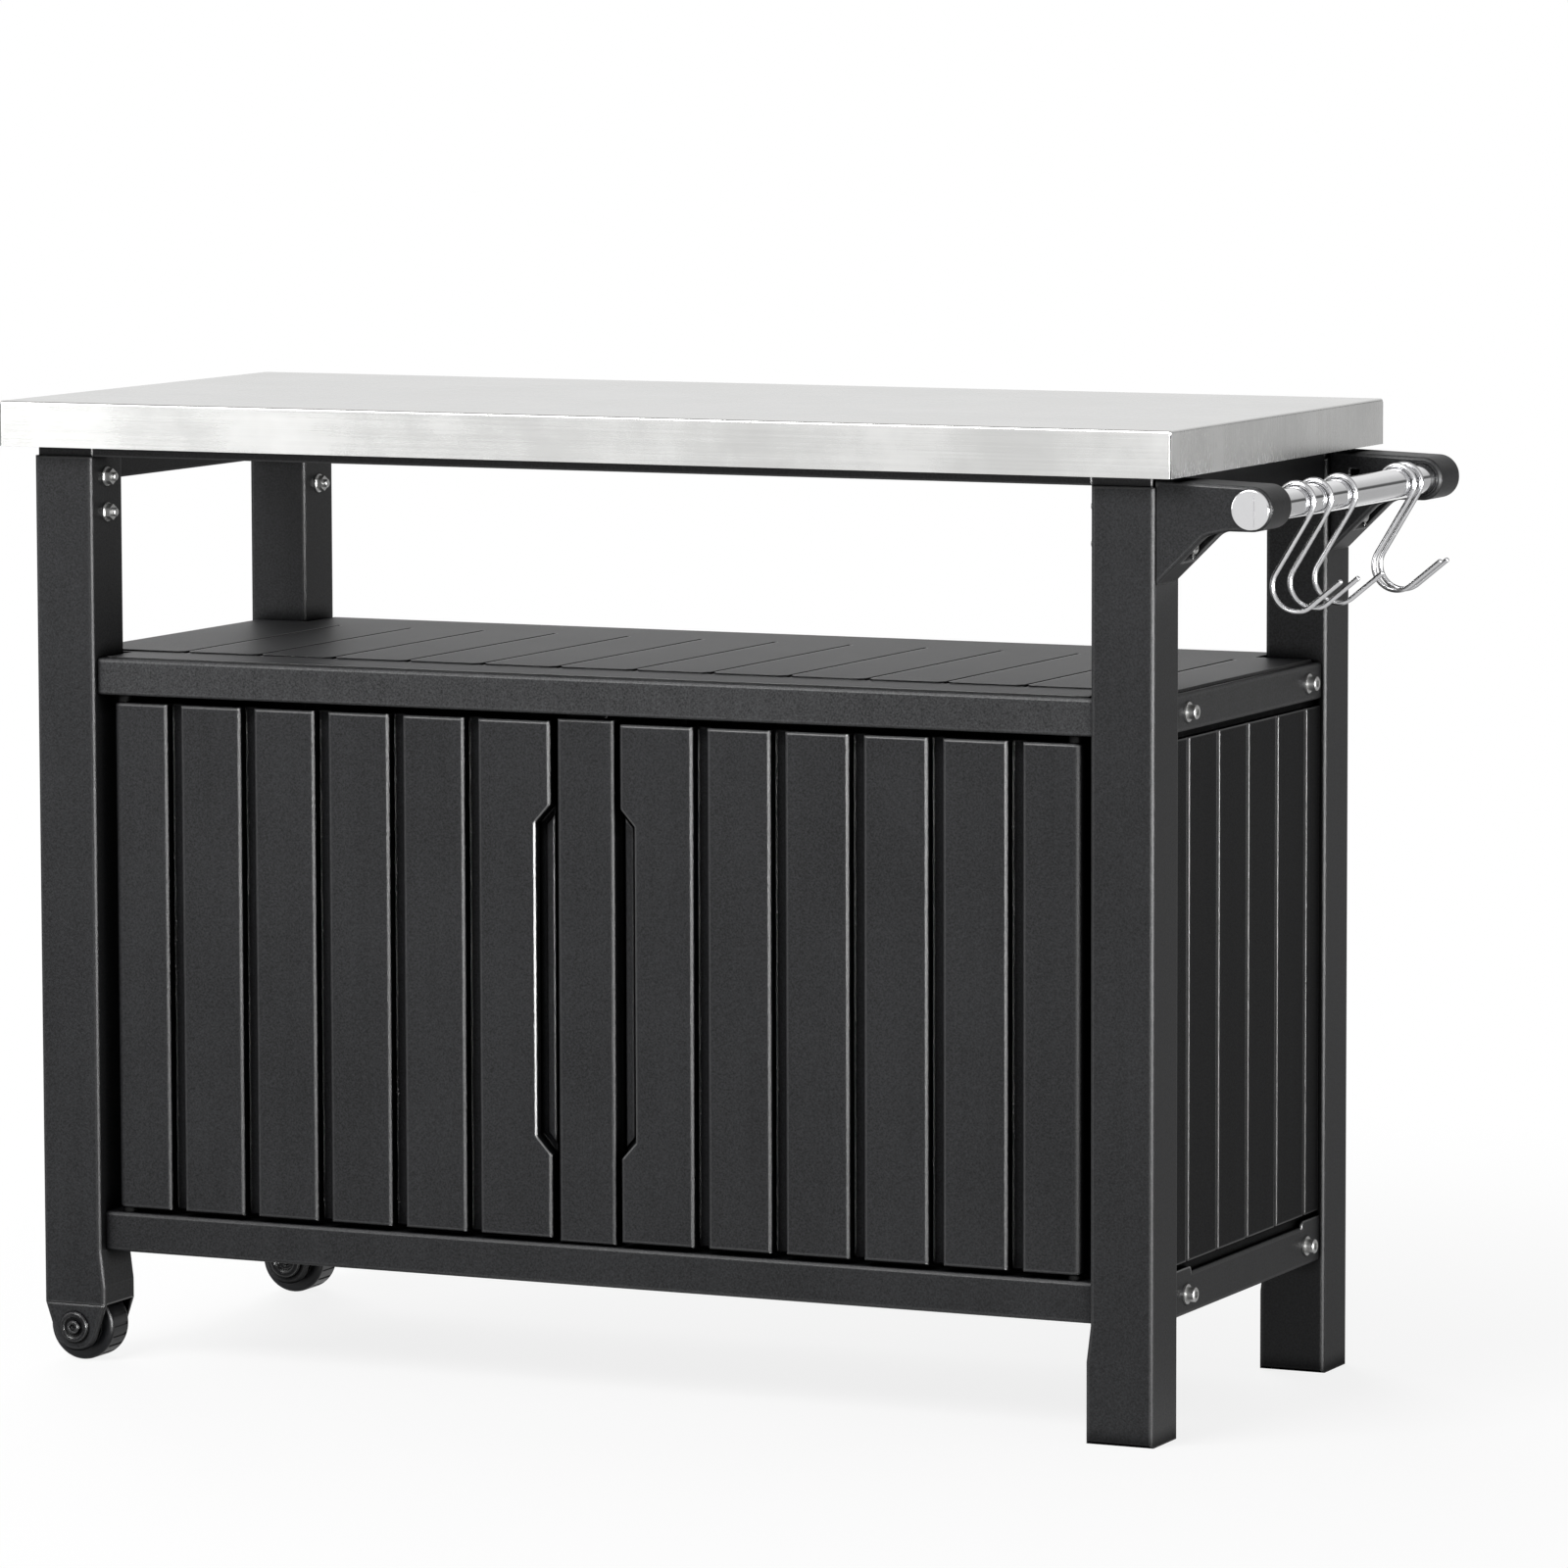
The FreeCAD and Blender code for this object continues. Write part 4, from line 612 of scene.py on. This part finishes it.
class Finish(Enum):
    """The finishes of the cart."""

    STEEL = Brushed("steel_sheet")
    SEAM = Brushed("steel_seam", colour=(0.10, 0.10, 0.10), roughness=0.60)
    RESIN = Resin("charcoal_resin")
    # Painted light: a lighter copy of the resin, for the stronger light that falls on the shelf.
    SHELF = Resin("shelf_resin_painted_light", colour=(0.031, 0.0315, 0.033), gloss=0.19)
    # Painted shade: a darker, less glossy copy of the resin for the recessed panels.
    PANEL = Resin("panel_resin_painted_shade", colour=(0.0125, 0.0127, 0.0135), gloss=0.04, rim=0.6)
    # Painted shade: a darker, matter copy of the resin for the frame in the shade under the top.
    FRAME = Resin("frame_resin_painted_shade", colour=(0.012, 0.012, 0.013), roughness=0.55, rim=0.3)
    BUSH = Resin("bearing_resin", colour=(0.004, 0.004, 0.004), roughness=0.6, gloss=0.1,
                 rim=0.0)
    HUB = Resin("axle_resin", colour=(0.010, 0.010, 0.011), roughness=0.36, gloss=0.12,
                rim=0.5)
    ZINC = Plated("zinc_plate", colour=(0.38, 0.38, 0.375), roughness=0.28, haze=0.16,
                  patch=220.0, scratch=0.00006)
    BAR = Plated("chrome_tube", colour=(0.74, 0.74, 0.75), roughness=0.05, haze=0.06,
                 patch=26.0, scratch=0.00002)
    WIRE = Plated("chrome_wire", colour=(0.56, 0.56, 0.57), roughness=0.16, haze=0.10,
                  patch=90.0, scratch=0.00003)
    RUBBER = Rubber("tyre_rubber")

    def material(self) -> bpy.types.Material:
        """The finish's material, made once."""
        found = bpy.data.materials.get(self.value.name)
        return found or self.value.make()


# Pieces


class Assembly(ABC):
    """A group of pieces of the cart, dressed together."""

    @abstractmethod
    def build(self) -> None:
        """Build what the group adds to the solids, and dress it all."""

    def dress(self, finish: Finish, *nodes: str) -> None:
        """Give carried-over nodes a finish.

        Args:
            finish: the finish.
            nodes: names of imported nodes.
        """
        for name in nodes:
            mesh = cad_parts[name].data
            mesh.materials.clear()
            mesh.materials.append(finish.material())
            LOG.info("%s wears %s", name, finish.value.name)

    def place(self, name: str, mesh: bmesh.types.BMesh, finish: Finish, body: str,
              slot: str) -> None:
        """Turn a finished bmesh into a piece that rides on a body.

        Args:
            name: the piece's name.
            mesh: its shape, in the row frame.
            finish: its finish.
            body: the body that it rides on.
            slot: a slot name, which is not used.
        """
        bmesh.ops.remove_doubles(mesh, verts=mesh.verts, dist=MERGE_DISTANCE)
        bmesh.ops.recalc_face_normals(mesh, faces=mesh.faces)
        data = bpy.data.meshes.new(name)
        mesh.to_mesh(data)
        mesh.free()
        piece = bpy.data.objects.new(name, data)
        bpy.context.scene.collection.objects.link(piece)
        data.materials.append(finish.material())
        data.shade_smooth()
        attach(piece, body)
        LOG.info("%s built on %s", name, body)


@dataclass
class Worktop(Assembly):
    """The steel tray, the frame under it and its corner blocks.

    Attributes:
        rails: the frame's members.
        corners: the blocks that join them to the legs.
        seam_radius: radius of the bead that closes each corner of the tray.
        seam_inset: distance of the bead's middle from the tray's sharp corner, on each axis.
        seam_gap: how much shorter the bead is than the tray is high.
        seam_sides: sides of the bead's section.
    """

    rails: tuple[str, ...] = (
        "top_front_rail", "top_back_rail", "top_left_rail", "top_right_rail",
        "top_left_batten", "top_middle_batten", "top_right_batten")
    corners: tuple[str, ...] = tuple(
        f"{word}_corner" for word in ("front_left", "front_right", "back_left", "back_right"))
    seam_radius: float = 0.0008
    seam_inset: float = 0.0009
    seam_gap: float = 0.003
    seam_sides: int = 12

    def build(self) -> None:
        """Dress the tray and its frame, and close the tray's corners."""
        self.dress(Finish.STEEL, "steel_top")
        # The frame and its corner blocks wear painted shade.
        self.dress(Finish.FRAME, *self.rails, *self.corners)
        self.build_seams()

    def build_seams(self) -> None:
        """The dark weld beads on the tray's four upright corners."""
        low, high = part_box("steel_top")
        beads = bmesh.new()
        height = high.z - low.z - self.seam_gap
        for x in (low.x + self.seam_inset, high.x - self.seam_inset):
            for y in (low.y + self.seam_inset, high.y - self.seam_inset):
                middle = Matrix.Translation((x, y, low.z + height / 2))
                bmesh.ops.create_cone(
                    beads, cap_ends=True, segments=self.seam_sides, radius1=self.seam_radius,
                    radius2=self.seam_radius, depth=height, matrix=middle)
        self.place("steel_corner_seams", beads, Finish.SEAM, "cart", "worktop_steel")


@dataclass
class Frame(Assembly):
    """Legs, shelf, base and fixed panels.

    Attributes:
        parts: the legs and what stands between them.
        panels: the cabinet's fixed panels.
    """

    parts: tuple[str, ...] = (
        "front_left_leg", "front_right_leg", "back_left_leg", "back_right_leg", "base_deck",
        "centre_post")
    panels: tuple[str, ...] = ("left_side_panel", "right_side_panel", "back_panel")

    def build(self) -> None:
        """Dress the resin mouldings."""
        self.dress(Finish.RESIN, *self.parts)
        # The panels wear painted shade.
        self.dress(Finish.PANEL, *self.panels)
        # The shelf wears painted light.
        self.dress(Finish.SHELF, "shelf_deck")


class Doors(Assembly):
    """The two doors with their hinges and catches."""

    def build(self) -> None:
        """Dress the doors and their fittings."""
        self.dress(Finish.RESIN, "left_door", "right_door")
        self.dress(Finish.BUSH, "hinge_bushes", "left_door_catch", "right_door_catch")
        self.dress(Finish.ZINC, "left_hinge_pins", "right_hinge_pins", "left_door_strike",
                   "right_door_strike")


@dataclass
class TowelBar(Assembly):
    """The bar, its arms and plugs, and the hooks.

    Attributes:
        hook_count: how many hooks hang on it.
    """

    hook_count: int = 5

    def build(self) -> None:
        """Dress the bar, its arms and its hooks."""
        self.dress(Finish.RESIN, "front_arm", "back_arm")
        self.dress(Finish.BAR, "handle_bar", "front_bar_plug", "back_bar_plug")
        self.dress(Finish.WIRE, *(f"hook_{number + 1}" for number in range(self.hook_count)))


class Wheels(Assembly):
    """Tyres, hubs and axles."""

    def build(self) -> None:
        """Dress the wheels."""
        for word in ("front", "back"):
            self.dress(Finish.RUBBER, f"{word}_wheel_tyre")
            self.dress(Finish.HUB, f"{word}_wheel_hub", f"{word}_axle_cap", f"{word}_axle_bolt")
        self.dress(Finish.HUB, "axle_nuts")


class Fasteners(Assembly):
    """Leg bolts and deck bolts."""

    def build(self) -> None:
        """Dress the fasteners."""
        self.dress(Finish.ZINC, "leg_bolts", "leg_nuts", "deck_bolts", "deck_washers")


# Studio


@dataclass(frozen=True)
class Lamp:
    """One rectangular lamp.

    Attributes:
        name: its name.
        place: where it hangs.
        aim: the point that it faces.
        size: its width and height.
        power: its power, in watts.
        diffuse: whether it lights plain surfaces.
        glossy: whether it shows in reflections.
    """

    name: str
    place: Triple
    aim: Triple
    size: tuple[float, float]
    power: float
    diffuse: bool = True
    glossy: bool = True

    def hang(self) -> None:
        """Add the lamp to the scene."""
        data = bpy.data.lights.new(self.name, "AREA")
        data.shape = "RECTANGLE"
        data.size, data.size_y = self.size
        data.energy = self.power
        lamp = bpy.data.objects.new(self.name, data)
        lamp.location = self.place
        away = Vector(self.place) - Vector(self.aim)
        lamp.rotation_euler = away.to_track_quat("Z", "Y").to_euler()
        lamp.visible_diffuse = self.diffuse
        lamp.visible_glossy = self.glossy
        bpy.context.scene.collection.objects.link(lamp)


@dataclass
class Studio:
    """Floor, world, lamps and camera.

    Attributes:
        lamps: a key above the front, a fill on the left and one behind, and a low strip on
            the right that only draws edges.
        ambient: the world's level for everything but what sees it directly.
        back: the direction that the shelf's top mirrors into the camera.
        side_stops: the level that mirrors see, by how far they look along it.
        band_stops: a dark band over the horizon, by height.
        band_side: where the band is, by how far to the right.
        band_dark: how much darker the band is.
        floor_half: half the floor's side.
        floor_grey: the floor's own colour, where the camera sees it.
        floor_dull: the floor's colour for the light that it throws back.
        fade_reach: the distance that the fade's places are shares of.
        fade_stops: how far the floor has faded into white, by distance.
        clip_end: how far the camera sees.
        eye: the camera's place.
        yaw: the camera's turn about Z, in radians.
        pitch: its tilt down, in radians.
        roll: its roll, in radians.
        lens: focal length for the sensor, in millimetres.
        sensor: the sensor's side, in millimetres.
    """

    lamps: tuple[Lamp, ...] = (
        Lamp("key_box", (-1.2, -3.4, 3.4), (0.0, -0.2, 0.5), (2.6, 2.0), 214.0),
        Lamp("front_fill", (-4.1, -3.7, 1.4), (0.0, 0.0, 0.5), (2.0, 1.8), 60.0),
        Lamp("rear_fill", (-2.6, 3.4, 2.2), (0.0, 0.0, 0.5), (2.4, 2.0), 170.0, glossy=False),
        Lamp("edge_strip", (3.8, -2.2, 0.46), (0.0, 0.0, 0.46), (4.6, 0.88), 760.0,
             diffuse=False))
    ambient: float = 0.18
    back: Triple = (-0.4226, 0.9063, 0.0)
    side_stops: Stops = ((0.24, 1.0), (0.42, 0.55), (0.84, 0.55), (0.93, 1.0))
    band_stops: Stops = ((0.52, 0.0), (0.535, 1.0), (0.575, 1.0), (0.60, 0.0))
    band_side: Stops = ((0.1, 0.0), (0.3, 1.0))
    band_dark: float = 0.8
    floor_half: float = 60.0
    floor_grey: float = 0.80
    floor_dull: float = 0.30
    fade_reach: float = 8.0
    fade_stops: Stops = ((0.05, 0.84), (0.22, 1.0))
    clip_end: float = 200.0
    eye: Triple = (3.2454, -6.9006, 1.3528)
    yaw: float = 0.43484
    pitch: float = 0.10554
    roll: float = -0.00278
    lens: float = 190.24
    sensor: float = 36.0

    def build(self) -> None:
        """Set the scene up."""
        self.light_world()
        self.lay_floor()
        for lamp in self.lamps:
            lamp.hang()
        self.set_camera()

    def seen_level(self, sheet: NodeSheet, away: Signal) -> tuple[Signal, Signal]:
        """How bright the surroundings look to rays that see them.

        Args:
            sheet: the world's or the floor's sheet.
            away: the direction from the cart's middle.

        Returns:
            1 for a ray from the camera, a mirror or glass and 0 otherwise, and the level: 1
            for the camera and glass, lower at the cart's sides and in the band for mirrors.
        """
        camera, glossy, glass = (
            sheet.node("LightPath", output=f"Is {kind} Ray")
            for kind in ("Camera", "Glossy", "Transmission"))
        length = sheet.vector("LENGTH", away, output="Value")
        toward = sheet.vector("DOT_PRODUCT", away, self.back, output="Value") / length
        right, up = (sheet.node("SeparateXYZ", {}, {0: away}, axis) / length for axis in "XZ")
        band = sheet.signed_ramp(up, *self.band_stops) * sheet.ramp(right, *self.band_side)
        level = sheet.signed_ramp(toward, *self.side_stops) * (1.0 - band * self.band_dark)
        return camera + glossy + glass, 1.0 - glossy * (1.0 - level)

    def light_world(self) -> None:
        """A white world that lights the cart at a plain level."""
        sheet = NodeSheet(bpy.data.worlds.new("studio_world"))
        seen, level = self.seen_level(sheet, sheet.node("TexCoord", output="Generated"))
        strength = seen * level + (1.0 - seen) * self.ambient
        glow = sheet.node("Background", {}, {"Color": WHITE, "Strength": strength})
        bpy.context.scene.world = sheet.close(glow, "OutputWorld")

    def lay_floor(self) -> None:
        """A pale floor that keeps the shadow and fades into the white far off."""
        sheet = NodeSheet.named("studio_floor")
        place = sheet.place()
        reach = sheet.vector("LENGTH", place, output="Value")
        fade = sheet.ramp(reach / self.fade_reach, *self.fade_stops)
        seen, level = self.seen_level(sheet, place)
        dull, soft = (sheet.node("BsdfDiffuse", {}, {"Color": (grey, grey, grey, 1.0)})
                      for grey in (self.floor_dull, self.floor_grey))
        white = sheet.node("Emission", {}, {"Color": WHITE, "Strength": level})
        surface = sheet.close(sheet.mix(seen, dull, sheet.mix(fade, soft, white)))
        ground = bmesh.new()
        bmesh.ops.create_grid(ground, x_segments=1, y_segments=1, size=self.floor_half)
        data = bpy.data.meshes.new("studio_floor")
        ground.to_mesh(data)
        ground.free()
        data.materials.append(surface)
        floor = bpy.data.objects.new("studio_floor", data)
        bpy.context.scene.collection.objects.link(floor)

    def set_camera(self) -> None:
        """The camera of the main view."""
        data = bpy.data.cameras.new("main_camera")
        data.sensor_width = self.sensor
        data.lens = self.lens
        data.clip_end = self.clip_end
        camera = bpy.data.objects.new("main_camera", data)
        cos_pitch, sin_pitch = math.cos(self.pitch), math.sin(self.pitch)
        ahead = Vector((-math.sin(self.yaw) * cos_pitch, math.cos(self.yaw) * cos_pitch,
                        -sin_pitch))
        right = Vector((math.cos(self.yaw), math.sin(self.yaw), 0.0))
        above = right.cross(ahead)
        cos_roll, sin_roll = math.cos(self.roll), math.sin(self.roll)
        right, above = (cos_roll * right + sin_roll * above,
                        cos_roll * above - sin_roll * right)
        turn = Matrix((right, above, -ahead)).transposed()
        camera.matrix_world = Matrix.Translation(self.eye) @ turn.to_4x4()
        bpy.context.scene.collection.objects.link(camera)
        bpy.context.scene.camera = camera
        bpy.context.scene.view_settings.view_transform = "Standard"


def main() -> None:
    """Build every sub-assembly in order, then the studio."""
    logging.basicConfig(level=logging.INFO, format="%(message)s")
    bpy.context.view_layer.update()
    for assembly in (Worktop(), Frame(), Doors(), TowelBar(), Wheels(), Fasteners()):
        assembly.build()
        LOG.info("%s done", type(assembly).__name__)
    Studio().build()


if __name__ == "__main__":
    main()
